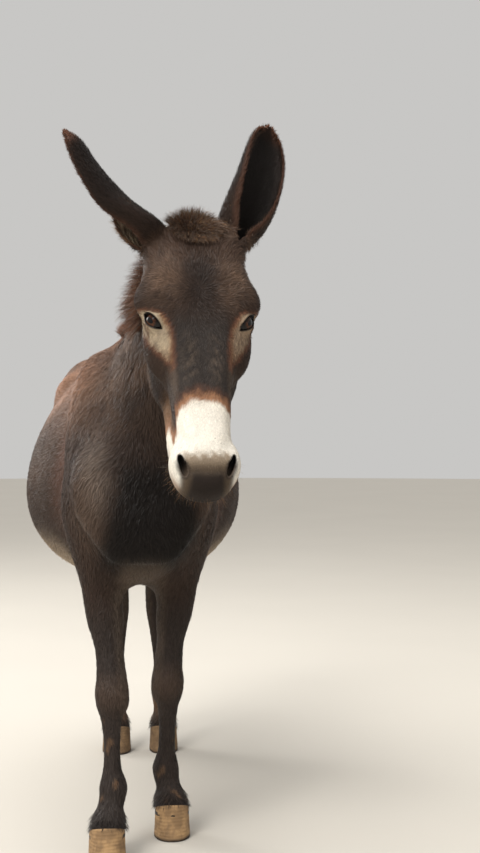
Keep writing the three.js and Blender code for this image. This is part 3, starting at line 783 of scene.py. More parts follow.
# ------------------------------------------------------------- surface nets
class SurfaceNet:
    """Draws the zero surface of a field as four-sided faces, on a sparse grid."""

    LOOSENESS = 2.2  # how far a field's value may overstate a distance
    CORNERS = np.array([[c & 1, (c >> 1) & 1, c >> 2] for c in range(8)])

    def __init__(self, low: Sequence[float], high: Sequence[float], step: float, levels: int = 3) -> None:
        """Lays out the grid.

        Args:
            low: Lowest corner of the space to search.
            high: Highest corner of the space.
            step: Size of the finest cells.
            levels: How often the coarsest cells are halved.
        """
        self.low, self.step, self.levels = np.asarray(low, float), step, levels
        self.count = np.ceil((np.asarray(high, float) - self.low) / (step * 2**levels)).astype(int)

    def _cells(self, field_: Field) -> Array:
        """Finest cells that the surface may cross, as rows of three indices.

        Args:
            field_: The field.

        Returns:
            The cells.
        """
        grids = np.meshgrid(*[np.arange(n) for n in self.count], indexing="ij")
        cells = np.stack(grids, axis=-1).reshape(-1, 3)
        for level in range(self.levels, -1, -1):
            size = self.step * 2**level
            value = field_(self.low + (cells + 0.5) * size)
            cells = cells[np.abs(value) < size * 0.866 * self.LOOSENESS]
            if level:
                cells = (cells[:, None] * 2 + self.CORNERS).reshape(-1, 3)
        return cells

    def draw(self, field_: Field) -> tuple[Array, Array]:
        """Draws the surface.

        Args:
            field_: The field, negative inside.

        Returns:
            Points, and faces as rows of four point numbers, wound outwards.
        """
        cells = self._cells(field_)
        size = self.count * 2**self.levels + 1
        stride = np.array([1, size[0], size[0] * size[1]])
        keys = cells @ stride
        corner_keys = np.unique((keys[:, None] + self.CORNERS @ stride).ravel())
        corner_cells = np.stack([corner_keys % size[0], corner_keys // size[0] % size[1], corner_keys // stride[2]], 1)
        value = np.full(int(np.prod(size)) + int(stride.sum()), np.nan, np.float32)
        value[corner_keys] = field_(self.low + corner_cells * self.step)

        around = value[keys[:, None] + self.CORNERS @ stride]
        inside = (around < 0).sum(axis=1)
        crossed = (inside > 0) & (inside < 8)
        keys, cells, around = keys[crossed], cells[crossed], around[crossed]
        total, number = np.zeros((len(keys), 3)), np.zeros(len(keys))
        for axis in range(3):
            for a, corner in enumerate(self.CORNERS):
                if corner[axis]:
                    continue
                first, second = around[:, a], around[:, a + (1 << axis)]
                cut = (first < 0) != (second < 0)
                share = np.where(cut, first / np.where(cut, first - second, 1), 0)
                place = corner + share[:, None] * np.eye(3)[axis]
                total += np.where(cut[:, None], place, 0)
                number += cut
        order = np.argsort(keys)
        keys = keys[order]
        points = self.low + ((cells + total / number[:, None]) * self.step)[order]
        return points, self._faces(keys, corner_keys, value, stride)

    @staticmethod
    def _faces(keys: Array, corner_keys: Array, value: Array, stride: Array) -> Array:
        """Joins the four cells around every crossed edge.

        Args:
            keys: The number of each cell that holds a point, in rising order.
            corner_keys: The number of each corner that an edge may start from.
            value: The field's value by corner number.
            stride: What one step along each axis adds to a number.

        Returns:
            Faces of four points.
        """
        faces = []
        for axis in range(3):
            ahead = value[corner_keys + stride[axis]]
            start = value[corner_keys] < 0
            cut = np.isfinite(ahead) & (start != (ahead < 0))
            edge, start = corner_keys[cut], start[cut]
            u, v = stride[(axis + 1) % 3], stride[(axis + 2) % 3]
            ring = np.stack([edge, edge - u, edge - u - v, edge - v], axis=1)
            found = np.minimum(np.searchsorted(keys, ring), len(keys) - 1)
            whole = (keys[found] == ring).all(axis=1)
            found = np.where(start[:, None], found, found[:, ::-1])
            faces.append(found[whole])
        return np.concatenate(faces)


def gradient(field_: Field, points: Array, reach: float = 0.4) -> Array:
    """The slope of a field at each point, by four samples around it.

    Args:
        field_: The field.
        points: Places, one row each.
        reach: How far the samples lie from a point along each axis.

    Returns:
        The slopes, one row each.
    """
    corners = np.array([[1, -1, -1], [-1, -1, 1], [-1, 1, -1], [1, 1, 1]], float)
    slope = np.zeros_like(points)
    for corner in corners:
        slope += corner * field_(points + corner * reach)[:, None]
    return slope / (4 * reach)


def onto_surface(field_: Field, points: Array, rounds: int = 2, limit: float = 2.0) -> Array:
    """Moves points onto a field's surface by Newton steps of at most the limit.

    Args:
        field_: The field.
        points: Places, one row each.
        rounds: How many steps to take.
        limit: The longest step.

    Returns:
        The moved points.
    """
    for _ in range(rounds):
        value, slope = field_(points), gradient(field_, points)
        step = value[:, None] * slope / np.maximum((slope**2).sum(axis=1), 0.2)[:, None]
        length = np.linalg.norm(step, axis=1, keepdims=True)
        points = points - step * np.minimum(1, limit / np.maximum(length, 1e-9))
    return points


# ---------------------------------------------------------------- the skin
@dataclass(frozen=True)
class EyeOpening:
    """Sizes of the opening between the lids, in millimetres."""

    half_length: float = 22.0
    upper: float = 10.5
    lower: float = 8.0
    lid_radius: float = 22.6
    floor_radius: float = 19.4


class EyeSeat:
    """Where one eye sits, and the field of its lids."""

    GAZE = (0.74, 0.64, 0.18)  # side, up and along on the head
    LID_UP = (-0.443, 0.667, -0.548)
    REACH = 60.0  # of the lids' field around the eye
    NEAR = 55.0  # within which the coat minds the opening

    def __init__(self, anatomy: Anatomy, s: int) -> None:
        """Places the eye on the side s of the head.

        Args:
            anatomy: The animal's forms.
            s: The side: 1 is left and -1 is right.
        """
        head = anatomy.head_axes
        side, up, along = BUILD.eye_place
        gaze = head.turned((s * self.GAZE[0], *self.GAZE[1:]))
        lid_up = head.turned((s * self.LID_UP[0], *self.LID_UP[1:]))
        self.s, self.opening = s, EyeOpening()
        self.axes = Axes.make(head.at(s * side, up, along), gaze, lid_up)
        self.lid = Blob(self.axes, (self.opening.lid_radius,) * 3)
        self.box = (self.axes.origin - self.REACH, self.axes.origin + self.REACH)

    def spread(self, points: Array) -> tuple[Array, Array, Array]:
        """Points as distances to the outer corner, to the upper lid and out of the eye."""
        local = self.axes.local(points)
        return local[:, 0] * self.s, local[:, 1], local[:, 2]

    def margin(self, points: Array) -> Array:
        """Distance from the edge of the opening, negative between the lids.

        Args:
            points: Places, one row each.

        Returns:
            The distances.
        """
        o = self.opening
        a, b, _ = self.spread(points)
        round_off = 1 - np.clip(np.abs((a + 2) / o.half_length), 0, 1) ** 2
        past = np.maximum(np.abs(a + 2) - o.half_length, 0)
        return np.maximum(b - o.upper * round_off**0.75, -b - o.lower * round_off**0.85) + past

    def shape_lids(self, value: Array, points: Array) -> Array:
        """Adds the lids to a skin's field and cuts the opening between them.

        Args:
            value: The field's values at those places.
            points: Places, one row each.

        Returns:
            The field's new values.
        """
        value = smooth_min(value, self.lid(points), 9)
        margin = self.margin(points)
        front = self.axes.local(points)[:, 2]
        hollow = np.maximum(margin, self.opening.floor_radius - np.linalg.norm(points - self.axes.origin, axis=1))
        hollow = np.maximum(hollow, 4 - front)
        value = smooth_max(value, -hollow, 1.6)
        fold = bump(margin, 6.0, 3.2) * 1.2 + bump(margin, 13, 6) * 0.5 - bump(margin, 2.2, 2.2) * 0.6
        _, b, _ = self.spread(points)
        return value + fold * smooth_step(front, 2, 10) * (0.55 + 0.45 * smooth_step(b, -6, 6))


class SkinField:
    """The field of the bare skin, which lies inside the solids by the coat's depth."""

    NOSTRIL = (((40, -42, 455), (5.2, 15, 15)), ((44.5, -40, 443), (4, 11, 9)))  # side, up, along and radii

    def __init__(self, anatomy: Anatomy) -> None:
        """Keeps the anatomy and places the eyes, nostrils and ear roots.

        Args:
            anatomy: The animal's forms.
        """
        self.anatomy = anatomy
        self.eyes = {s: EyeSeat(anatomy, s) for s in SIDES.values()}
        head = anatomy.head_axes
        self.nostrils = []
        for s in SIDES.values():
            for (side, up, along), radii in self.NOSTRIL:
                axes = Axes.make(head.at(s * side, up, along), (s * -0.3, -0.5, -0.9), head.up)
                self.nostrils.append(Blob(axes, radii))

    def coat_depth(self, points: Array) -> Array:
        """How deep the coat is over each point.

        Args:
            points: Places, one row each.

        Returns:
            The depths.
        """
        head = self.anatomy.head_axes.local(points)
        z = points[:, 2]
        trunk = 3 + 3 * smooth_step(z, 330, 620) - 1 * smooth_step(z, 60, 140) * (1 - smooth_step(z, 140, 300))
        trunk = trunk - 7 * (1 - smooth_step(z, 82, 112))
        face = 1.2 + 2.6 * (1 - smooth_step(head[:, 2], 270, 370)) + 2 * (1 - smooth_step(head[:, 2], 20, 110))
        return trunk + (face - trunk) * smooth_step(-points[:, 1], 350, 430)

    def eye_margin(self, points: Array) -> Array:
        """Distance from the edge of the nearest eye's opening, or FAR away from both eyes.

        Args:
            points: Places, one row each.

        Returns:
            The distances.
        """
        margin = np.full(len(points), Blend.FAR)
        for seat in self.eyes.values():
            near = np.linalg.norm(points - seat.axes.origin, axis=1) < seat.NEAR
            margin[near] = seat.margin(points[near])
        return margin

    def _ear_root(self, ear: Ear) -> Field:
        """The lowest part of an ear's shell, which blends into the head.

        Args:
            ear: The ear.

        Returns:
            The root's field.
        """

        def root(points: Array) -> Array:
            """The ear's field, closed off above its root."""
            share = ear.axes.local(points)[:, 2] / ear.length
            return ear(points) + 0.5 + 300 * np.maximum(share - 0.13, 0)

        return root

    def __call__(self, points: Array) -> Array:
        """The field at each point, negative inside the skin.

        Args:
            points: Places, one row each.

        Returns:
            The values.
        """
        a = self.anatomy
        value = a.flesh(points) + self.coat_depth(points)
        for ear in a.ears.values():
            reach = 90.0
            box = (ear.axes.origin - reach, ear.axes.origin + reach)
            apply_near(value, points, box, lambda v, p: smooth_min(v, self._ear_root(ear)(p), 14))
            canal = Blob(Axes.make(ear.axes.at(0, 4, 30), ear.axes.along, ear.axes.up), (17, 17, 42))
            apply_near(value, points, box, lambda v, p: smooth_max(v, -canal(p), 10))
        low, high = a.tail.bounds()
        apply_near(value, points, (low - 90, high + 90), lambda v, p: smooth_min(v, a.tail(p) + 7, 10))
        for seat in self.eyes.values():
            apply_near(value, points, seat.box, seat.shape_lids)
        for hole in self.nostrils:
            low, high = hole.bounds()
            apply_near(value, points, (low - 30, high + 30), lambda v, p: smooth_max(v, -hole(p), 5))
        return value + self._creases(points)

    def _creases(self, points: Array) -> Array:
        """Shallow folds of the skin, as a field to add: positive is a groove.

        Args:
            points: Places, one row each.

        Returns:
            What to add at each place.
        """
        groove = np.zeros(len(points))
        head = self.anatomy.head_axes
        box = (head.at(0, -60, 300) - 330, head.at(0, -60, 300) + 330)

        def fold_head(value: Array, near: Array) -> Array:
            """Adds the line of the lips, the temples, the bridge, the nostrils' wings and the crest of the cheek.

            Args:
                value: What the folds add so far.
                near: The places in the box, one row each.

            Returns:
                The new values.
            """
            side, up, along = head.local(near).T
            lips = bump(up + 104 + 0.03 * (along - 455), 0, 5) * smooth_step(along, 392, 410)
            in_front = smooth_step(along, 410, 430)
            full = bump(up + 93, 0, 9) * in_front + bump(up + 116, 0, 9) * in_front
            temple = bump(np.hypot(np.abs(side) - 54, along - 120), 0, 26) * smooth_step(up, -10, 6)
            bridge = bump(np.abs(side), 0, 20) * bump(along, 300, 110) * smooth_step(up, -40, -10)
            wing = bump(np.hypot(np.abs(side) - 36, along - 418), 0, 22) * smooth_step(up, -60, -30)
            crest = bump(up + 60 + 0.25 * (along - 200), 0, 10) * bump(along, 240, 90)
            return value + 4.2 * lips - 1.4 * full + 3.0 * temple + 1.2 * bridge + 1.6 * wing - 1.6 * crest

        apply_near(groove, points, box, fold_head)
        return groove + self._leg_creases(points)

    def _leg_creases(self, points: Array) -> Array:
        """Grooves between bone and tendon, and the knuckles of the joints.

        Args:
            points: Places, one row each.

        Returns:
            What to add at each place.
        """
        groove = np.zeros(len(points))
        for _, _, x, y in self.anatomy.feet():
            box = (np.array([x - 90, y - 120, 60]), np.array([x + 90, y + 160, 500]))

            def fold_leg(value: Array, near: Array, y: float = y) -> Array:
                """Adds the groove between bone and tendon and the one behind the fetlock.

                Args:
                    value: What the folds add so far.
                    near: The places in the box, one row each.
                    y: The hoof's place to the back.

                Returns:
                    The new values.
                """
                z, back = near[:, 2], near[:, 1] - y
                cannon = smooth_step(z, 165, 200) * (1 - smooth_step(z, 270, 330))
                tendon = bump(back - 34 - 0.05 * (z - 200), 0, 6) * cannon
                fetlock = bump(z - 118, 0, 9) * smooth_step(back, 20, 40)
                return value + 1.8 * tendon + 1.5 * fetlock

            apply_near(groove, points, box, fold_leg)
        return groove


def mesh_from(name: str, points: Array, faces: Array) -> Mesh:
    """Makes a smooth mesh.

    Args:
        name: The mesh's name.
        points: Points in metres, in the shared frame.
        faces: Rows of three or four point numbers.

    Returns:
        The new mesh.
    """
    mesh = bpy.data.meshes.new(name)
    width = faces.shape[1]
    mesh.vertices.add(len(points))
    mesh.vertices.foreach_set("co", np.ascontiguousarray(points, np.float32).ravel())
    mesh.loops.add(faces.size)
    mesh.loops.foreach_set("vertex_index", np.ascontiguousarray(faces, np.int32).ravel())
    mesh.polygons.add(len(faces))
    mesh.polygons.foreach_set("loop_start", np.arange(0, faces.size, width, dtype=np.int32))
    mesh.update(calc_edges=True)
    mesh.shade_smooth()
    return mesh


def object_from(mesh: Mesh) -> Object:
    """Puts a mesh in the scene as an object of the same name.

    Args:
        mesh: The mesh.

    Returns:
        The object.
    """
    made = bpy.data.objects.new(mesh.name, mesh)
    bpy.context.scene.collection.objects.link(made)
    return made


def rows_of(items: bpy.types.bpy_prop_collection, key: str) -> Array:
    """A vector of every item in a mesh's list, as rows of three numbers.

    Args:
        items: The list, such as the points.
        key: The vector's name.

    Returns:
        The rows.
    """
    flat = np.empty(len(items) * 3, np.float32)
    items.foreach_get(key, flat)
    return flat.reshape(-1, 3).astype(float)


def points_of(mesh: Mesh) -> Array:
    """The mesh's points as rows of three numbers."""
    return rows_of(mesh.vertices, "co")


def triangles_of(mesh: Mesh) -> Array:
    """The point numbers of a mesh that has only triangles.

    Args:
        mesh: The mesh.

    Returns:
        Rows of three point numbers.
    """
    flat = np.empty(len(mesh.loops), np.int32)
    mesh.loops.foreach_get("vertex_index", flat)
    return flat.reshape(-1, 3)


def set_attribute(mesh: Mesh, name: str, values: Array, domain: str = "POINT") -> None:
    """Stores numbers, vectors or colours on a mesh, by the width of the array.

    Args:
        mesh: The mesh.
        name: The attribute's name.
        values: One value or row for each place.
        domain: What the values belong to.
    """
    values = np.asarray(values, np.float32)
    kind, key = {1: ("FLOAT", "value"), 3: ("FLOAT_VECTOR", "vector"), 4: ("FLOAT_COLOR", "color")}[
        1 if values.ndim == 1 else values.shape[1]
    ]
    layer = mesh.attributes.get(name) or mesh.attributes.new(name, kind, domain)
    layer.data.foreach_set(key, np.ascontiguousarray(values).ravel())


def evaluated_mesh(owner: Object) -> Mesh:
    """A plain mesh of an object with its modifiers worked in."""
    graph = bpy.context.evaluated_depsgraph_get()
    return bpy.data.meshes.new_from_object(owner.evaluated_get(graph), depsgraph=graph)


def discard(owner: Object) -> None:
    """Takes an object and its mesh out of the file.

    Args:
        owner: The object.
    """
    mesh = owner.data
    bpy.data.objects.remove(owner)
    bpy.data.meshes.remove(mesh)


@dataclass(frozen=True)
class SkinSizes:
    """How finely the skin is drawn."""

    body_step: float = 4.2
    ear_step: float = 2.4
    body_faces: int = 96000
    eye_reach: float = 42.0
    fine_eye_reach: float = 30.0
    muzzle_start: float = 385.0


class Placement:
    """Turns the solids' working frame in millimetres into the shared frame in metres."""

    MARGIN = 0.0004  # by which hair stays inside the solids' box

    def __init__(self, anatomy: Anatomy) -> None:
        """Reads where the frame's eyes are and compares it with the working frame.

        Args:
            anatomy: The animal's forms.
        """
        side, up, along = BUILD.eye_place
        shift = []
        for name, s in SIDES.items():
            low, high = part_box(f"eye_{name}")
            middle = (np.array(low) + np.array(high)) / 2
            shift.append(middle - anatomy.head_axes.at(s * side, up, along) * MM)
        self.shift = np.mean(shift, axis=0)
        self.box = np.array(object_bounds()) + np.array([[self.MARGIN] * 3, [-self.MARGIN] * 3])
        self.box[0, 2] = 0.0

    def shared(self, points: Array) -> Array:
        """Points of the shared frame, in metres."""
        return points * MM + self.shift

    def working(self, points: Array) -> Array:
        """Points of the working frame, in millimetres."""
        return (points - self.shift) / MM

    def hold_in(self, mesh: Mesh) -> None:
        """Keeps every point of a mesh inside the solids' box.

        Args:
            mesh: The mesh.
        """
        held = np.clip(points_of(mesh), *self.box)
        mesh.vertices.foreach_set("co", held.astype(np.float32).ravel())
        mesh.update()


class Skin:
    """The one skin of the animal: its mesh and what the coat reads from it."""

    def __init__(self, anatomy: Anatomy, placement: Placement, sizes: SkinSizes = SkinSizes()) -> None:
        """Keeps what the skin is drawn from.

        Args:
            anatomy: The animal's forms.
            placement: The way from the working frame to the shared one.
            sizes: How finely the skin is cut.
        """
        self.anatomy, self.placement, self.sizes = anatomy, placement, sizes
        self.field = SkinField(anatomy)
        self.object: Object | None = None

    def build(self) -> Object:
        """Draws the skin, thins it where it is plain, and unwraps it.

        Returns:
            The skin's object, of triangles only.
        """
        points, faces = SurfaceNet((-290, -680, 22), (290, 1140, 1480), self.sizes.body_step).draw(self.field)
        body = self._thinned(self._relaxed(points, faces), faces)
        LOG.info("body skin: %d faces", len(body.data.polygons))
        self._refine(body)
        parts = [body, *(self._ear(s) for s in SIDES.values())]
        with bpy.context.temp_override(active_object=body, selected_editable_objects=parts):
            bpy.ops.object.join()
        body.name = body.data.name = "skin"
        self._unwrap(body)
        self.object = body
        LOG.info("skin: %d triangles", len(body.data.polygons))
        return body

    def _relaxed(self, points: Array, faces: Array, rounds: int = 60) -> Array:
        """Evens out the swells of the trunk, so that muscle shows softly under the skin.

        Args:
            points: Places, one row each.
            faces: Faces of four points.
            rounds: How often each point moves towards its neighbours.

        Returns:
            The moved points.
        """
        trunk = smooth_step(points[:, 1], -330, -200) * smooth_step(points[:, 2], 480, 640)
        trunk = trunk * (1 - 0.6 * smooth_step(points[:, 1], 1000, 1060))
        ends = np.concatenate([faces[:, [0, 1]], faces[:, [1, 2]], faces[:, [2, 3]], faces[:, [3, 0]]])
        count = np.bincount(ends[:, 0], minlength=len(points))[:, None]
        for _ in range(rounds):
            total = np.stack([np.bincount(ends[:, 0], points[ends[:, 1], i], len(points)) for i in range(3)], axis=1)
            points = points + (total / np.maximum(count, 1) - points) * 0.9 * trunk[:, None] * (count > 2)
        return points

    def _thinned(self, points: Array, faces: Array) -> Object:
        """Makes the body's mesh and collapses most of it away from the head.

        Args:
            points: Places, one row each.
            faces: Faces of four points.

        Returns:
            The body's object.
        """
        made = object_from(mesh_from("skin", self.placement.shared(points), faces))
        head = self.anatomy.head_axes.local(points)
        z = points[:, 2]
        keep = smooth_step(-points[:, 1], 380, 430) * (0.55 + 0.45 * smooth_step(head[:, 2], 100, 200))
        keep = np.maximum(keep, 0.3 * (1 - smooth_step(z, 380, 480)))
        group = made.vertex_groups.new(name="thin")
        level = np.round((1 - keep) * 10).astype(int)
        for value in range(1, 11):
            chosen = np.nonzero(level == value)[0]
            if len(chosen):
                group.add(chosen.tolist(), value / 10, "REPLACE")
        thin = made.modifiers.new("thin", "DECIMATE")
        thin.ratio = self.sizes.body_faces / (2 * len(faces))
        thin.vertex_group, thin.vertex_group_factor = "thin", 3.0
        thin.use_collapse_triangulate = True
        mesh = evaluated_mesh(made)
        discard(made)
        return object_from(mesh)

    def _refine(self, body: Object) -> None:
        """Cuts the faces around eyes and muzzle finer and lays them on the field again.

        Args:
            body: The body's skin.
        """
        for level in (0, 1):
            mesh = body.data
            points = self.placement.working(points_of(mesh))
            wanted = np.zeros(len(points), bool)
            for seat in self.field.eyes.values():
                reach = (self.sizes.eye_reach, self.sizes.fine_eye_reach)[level]
                wanted |= np.linalg.norm(points - seat.axes.at(0, 0, 16), axis=1) < reach
            side, up, along = self.anatomy.head_axes.local(points).T
            if level == 0:
                wanted |= (along > self.sizes.muzzle_start) & (up > -180) & (points[:, 1] < -380)
            else:
                wanted |= (along > 428) & (up > -92) & (np.abs(side) > 22) & (points[:, 1] < -380)
            shape = bmesh.new()
            shape.from_mesh(mesh)
            shape.verts.ensure_lookup_table()
            edges = [e for e in shape.edges if wanted[e.verts[0].index] and wanted[e.verts[1].index]]
            bmesh.ops.subdivide_edges(shape, edges=edges, cuts=1, use_grid_fill=True)
            bmesh.ops.triangulate(shape, faces=[f for f in shape.faces if len(f.verts) > 3])
            LOG.info("finer skin, level %d: %d faces", level, len(shape.faces))
            shape.to_mesh(mesh)
            shape.free()
            points = self.placement.working(points_of(mesh))
            near = points[:, 1] < FACE_Y
            points[near] = onto_surface(self.field, points[near], rounds=2, limit=1.6)
            mesh.vertices.foreach_set("co", self.placement.shared(points).astype(np.float32).ravel())
        body.data.update()
        body.data.shade_smooth()

    def _ear(self, s: int) -> Object:
        """Draws the skin of one ear.

        Args:
            s: The side: 1 is left and -1 is right.

        Returns:
            The ear's object.
        """
        ear = self.anatomy.ears[s]

        def shell(points: Array) -> Array:
            """The ear's field with the folds of its hollow, cut off at the root.

            Args:
                points: Places, one row each.

            Returns:
                The values.
            """
            share = ear.axes.local(points)[:, 2] / ear.length
            turn_share, turn, inwards = ear.coordinates(points)
            folds = bump(np.abs(turn) - 0.38, 0, 0.2) + bump(turn, 0, 0.16)
            folds = folds * smooth_step(turn_share, 0.12, 0.3) * (1 - smooth_step(turn_share, 0.6, 0.95))
            return ear(points) - 1.1 * folds * (inwards > 0) + 300 * np.maximum(0.03 - share, 0)

        corners = np.array([ear.axes.at(a, b, c) for a in (-75, 75) for b in (-50, 50) for c in (-10, 300)])
        points, faces = SurfaceNet(corners.min(axis=0), corners.max(axis=0), self.sizes.ear_step, 2).draw(shell)
        made = object_from(mesh_from("ear", self.placement.shared(points), faces))
        made.modifiers.new("even", "TRIANGULATE")
        thin = made.modifiers.new("thin", "DECIMATE")
        thin.ratio = 0.3
        mesh = evaluated_mesh(made)
        discard(made)
        return object_from(mesh)

    @staticmethod
    def _unwrap(body: Object) -> None:
        """Unwraps the skin's own shape, which gives each tuft its place on the map.

        Args:
            body: The body's skin.
        """
        body.data.uv_layers.new(name="OFBake")
        bpy.context.view_layer.objects.active = body
        body.select_set(True)
        bpy.ops.object.mode_set(mode="EDIT")
        bpy.ops.mesh.select_all(action="SELECT")
        bpy.ops.uv.smart_project(angle_limit=math.radians(66), island_margin=0.003)
        bpy.ops.object.mode_set(mode="OBJECT")
        body.select_set(False)


# -------------------------------------------------------------- the markings
def colour(code: str) -> Array:
    """A colour code of six hex digits as three linear numbers."""
    shown = np.array([int(code[i : i + 2], 16) for i in (0, 2, 4)]) / 255
    return np.where(shown <= 0.04045, shown / 12.92, ((shown + 0.055) / 1.055) ** 2.4)


def waves(points: Array, size: float, seed: int = 0) -> Array:
    """Soft patches from -1 to 1, about a size across, the same at every run.

    Args:
        points: Places, one row each.
        size: About how wide a patch is.
        seed: Chooses one of many patterns.

    Returns:
        The values.
    """
    rng = np.random.default_rng(seed)
    value = np.zeros(len(points))
    for octave in (1.0, 1.9, 3.4):
        direction = unit(rng.normal(size=(5, 3))) * (2 * np.pi * octave / size)
        phase = rng.uniform(0, 2 * np.pi, 5)
        value += np.sin(points @ direction.T + phase).sum(axis=1) / (5 * octave)
    return np.clip(value * 1.4, -1, 1)


@dataclass(frozen=True)
class Palette:
    """Colours of the coat, and one painted sheen for highlights of light on the hair."""

    base: str = "3a2d26"
    black: str = "15110f"
    slate: str = "38322f"
    # painted highlight: a light grey-brown that stands for light on glossy hair
    sheen: str = "665a51"
    rust: str = "7a503c"
    tawny: str = "8a6650"
    brown: str = "4d3a2f"
    hazel: str = "715a4a"
    grey: str = "63564b"
    tan: str = "9a7656"
    orange: str = "a87c5c"
    cream: str = "b7a68d"
    white: str = "eee8dd"
    belly: str = "9a8873"
    lips: str = "251e1b"
    nose: str = "605141"
    ear: str = "281f1b"
    lining: str = "120e0c"


class Layers:
    """Colours laid one over another at a set of points."""

    def __init__(self, paint: dict[str, Array], ground: str | Array, count: int = 0) -> None:
        """Starts from the named colour at a count of points, or from rows of colours."""
        self.paint = paint
        self.shade = np.tile(paint[ground], (count, 1)) if isinstance(ground, str) else ground

    def lay(self, over: str | Array, share: Array) -> None:
        """Lays a colour over the others, by a share at each point."""
        tint = self.paint[over] if isinstance(over, str) else over
        self.shade = self.shade + (tint - self.shade) * np.clip(share, 0, 1)[:, None]


class Markings:
    """The coat's colour at each place, which skin and hair share."""

    def __init__(self, anatomy: Anatomy, skin: SkinField, palette: Palette = Palette()) -> None:
        """Keeps what the colours depend on."""
        self.anatomy, self.skin = anatomy, skin
        self.paint = {name: colour(code) for name, code in vars(palette).items()}

    def at(self, points: Array, normals: Array, ear: Array) -> Array:
        """The colour at each point.

        Args:
            points: Points on the skin, in the working frame.
            normals: The skin's normals there.
            ear: 1 on the ears, 0 elsewhere.

        Returns:
            Rows of red, green, blue and an unused fourth number.
        """
        on_head = smooth_step(-points[:, 1], 395, 425) * (1 - ear)
        coat = Layers(self.paint, self._body(points, normals))
        coat.lay(self._face(points), on_head)
        coat.lay(self._ear(points), ear)
        return np.concatenate([coat.shade, np.ones((len(points), 1))], axis=1)

    def _body(self, points: Array, normals: Array) -> Array:
        """Neck, trunk, legs and tail.

        Args:
            points: Places, one row each.
            normals: The skin's normals at those places.

        Returns:
            A colour for each place.
        """
        x, y, z = points.T
        patches, streaks = waves(points, 190, 3), waves(points * (1, 1, 0.3), 26, 4)
        coat = Layers(self.paint, "base", len(points))
        # the back's tawny is partly the coat's reddish tinge and partly painted light falling on the top
        back = smooth_step(z, 850, 990) * smooth_step(y, -130, 30)
        coat.lay("tawny", back * (0.7 + 0.3 * patches))
        # the upper neck's hazel streaks are partly the coat's own colour and partly painted sheen of light from above
        neck = smooth_step(-y, -30, 120) * smooth_step(z, 830, 930)
        coat.lay("hazel", neck * np.clip(0.42 + 0.25 * patches + 0.3 * streaks, 0, 1))
        flank = bump(y, 330, 300) * bump(z, 850, 160)
        coat.lay("hazel", 0.35 * flank * (0.6 + 0.4 * patches))
        seam = bump(y, 120, 70) * bump(z, 820, 220) * smooth_step(np.abs(x), 90, 150)
        coat.lay("rust", 0.45 * seam * (0.7 + 0.3 * patches))
        # painted highlight: light grey sheen on the front of the right shoulder only, the side the light falls on
        painted_shoulder_sheen = bump(np.abs(x), 96, 44) * bump(z, 800, 130) * smooth_step(-y, 60, 140)
        coat.lay("sheen", (x < 0) * painted_shoulder_sheen * (0.9 + 0.2 * streaks))
        point = bump(np.abs(x), 120, 60) * bump(z, 730, 150) * smooth_step(-y, -60, 60)
        coat.lay("hazel", 0.35 * point * (0.8 + 0.3 * streaks))
        # painted shadow: darker brown on the front of the neck under the jaw
        painted_throat_shadow = (1 - smooth_step(np.abs(x), 30, 85)) * smooth_step(-y, 110, 190) * (1 - smooth_step(z, 950, 1010))
        coat.lay("ear", 0.75 * painted_throat_shadow)
        # the chest's near-black is the coat's own colour; its wider reach on the left side (x > 0) is painted shade
        aside = np.where(x > 0, x - 52, -x) - 0.28 * (800 - z)
        chest = smooth_step(-y, 0, 100) * (1 - smooth_step(z, 805, 850)) * (1 - smooth_step(aside, 20, 62))
        coat.lay("black", 0.97 * chest)
        brisket = bump(z, 588, 62) * smooth_step(-normals[:, 2], -0.6, 0.5) * (1 - smooth_step(np.abs(x - 4), 34, 66))
        coat.lay("grey", 0.75 * brisket * (1 - smooth_step(y, 150, 260)))
        under = smooth_step(-normals[:, 2], 0.25, 0.8) * smooth_step(z, 470, 500)
        belly = under * smooth_step(y, 110, 240) * (1 - smooth_step(z, 620, 720))
        coat.lay("belly", 0.95 * belly)
        legs = 1 - smooth_step(z, 470, 560)
        coat.lay("slate", 0.7 * legs)
        dust = np.clip(waves(points, 38, 14) - 0.72, 0, 1) * (1 - smooth_step(z, 230, 330))
        coat.lay("tan", 1.3 * dust)
        middle = np.where(y > 500, BUILD.hind_shift, 0.0)
        inner = smooth_step(-normals[:, 0] * np.sign(x - middle), 0.2, 0.8) * smooth_step(z, 230, 420)
        coat.lay("grey", 0.6 * inner * (1 - smooth_step(z, 760, 860)) * (y > -120))
        thigh = inner * smooth_step(y, 560, 640) * smooth_step(z, 480, 600) * (1 - smooth_step(z, 780, 880))
        coat.lay("belly", 0.6 * thigh)
        knee = bump(z, 345, 60) * (y < 400)
        coat.lay("hazel", 0.25 * knee)
        pastern = bump(z, 170, 110) * smooth_step(y, 600, 640) * (0.7 + 0.3 * patches)
        coat.lay("tan", 0.6 * pastern)
        coronet = 1 - smooth_step(z, 70, 92)
        coat.lay("black", 0.6 * coronet)
        coat.lay("brown", 0.55 * smooth_step(y, TAIL_Y, TAIL_Y + 30) * smooth_step(z, 500, 900))
        return coat.shade

    def _ear(self, points: Array) -> Array:
        """Both ears: dark, with rusty rims and tips and pale hair low inside.

        Args:
            points: Places, one row each.

        Returns:
            A colour for each place.
        """
        shade = np.tile(self.paint["ear"], (len(points), 1))
        for ear in self.anatomy.ears.values():
            near = ear.surrounds(points)
            share, turn, inwards = ear.coordinates(points[near])
            rim = smooth_step(np.abs(turn), 0.86, 1.0)
            tip = smooth_step(share, 0.84, 0.98)
            here = Layers(self.paint, shade[near])
            here.lay("base", 0.6 * bump(share, 0.2, 0.3))
            here.lay("rust", 0.3 * rim + 0.7 * tip)
            inside = smooth_step(inwards, 0.5, 2.0)
            here.lay("lining", inside * (1 - rim) * 0.9)
            low = inside * bump(share, 0.16, 0.2) * smooth_step(np.abs(turn), 0.35, 0.7)
            here.lay("grey", 0.8 * low)
            shade[near] = here.shade
        return shade

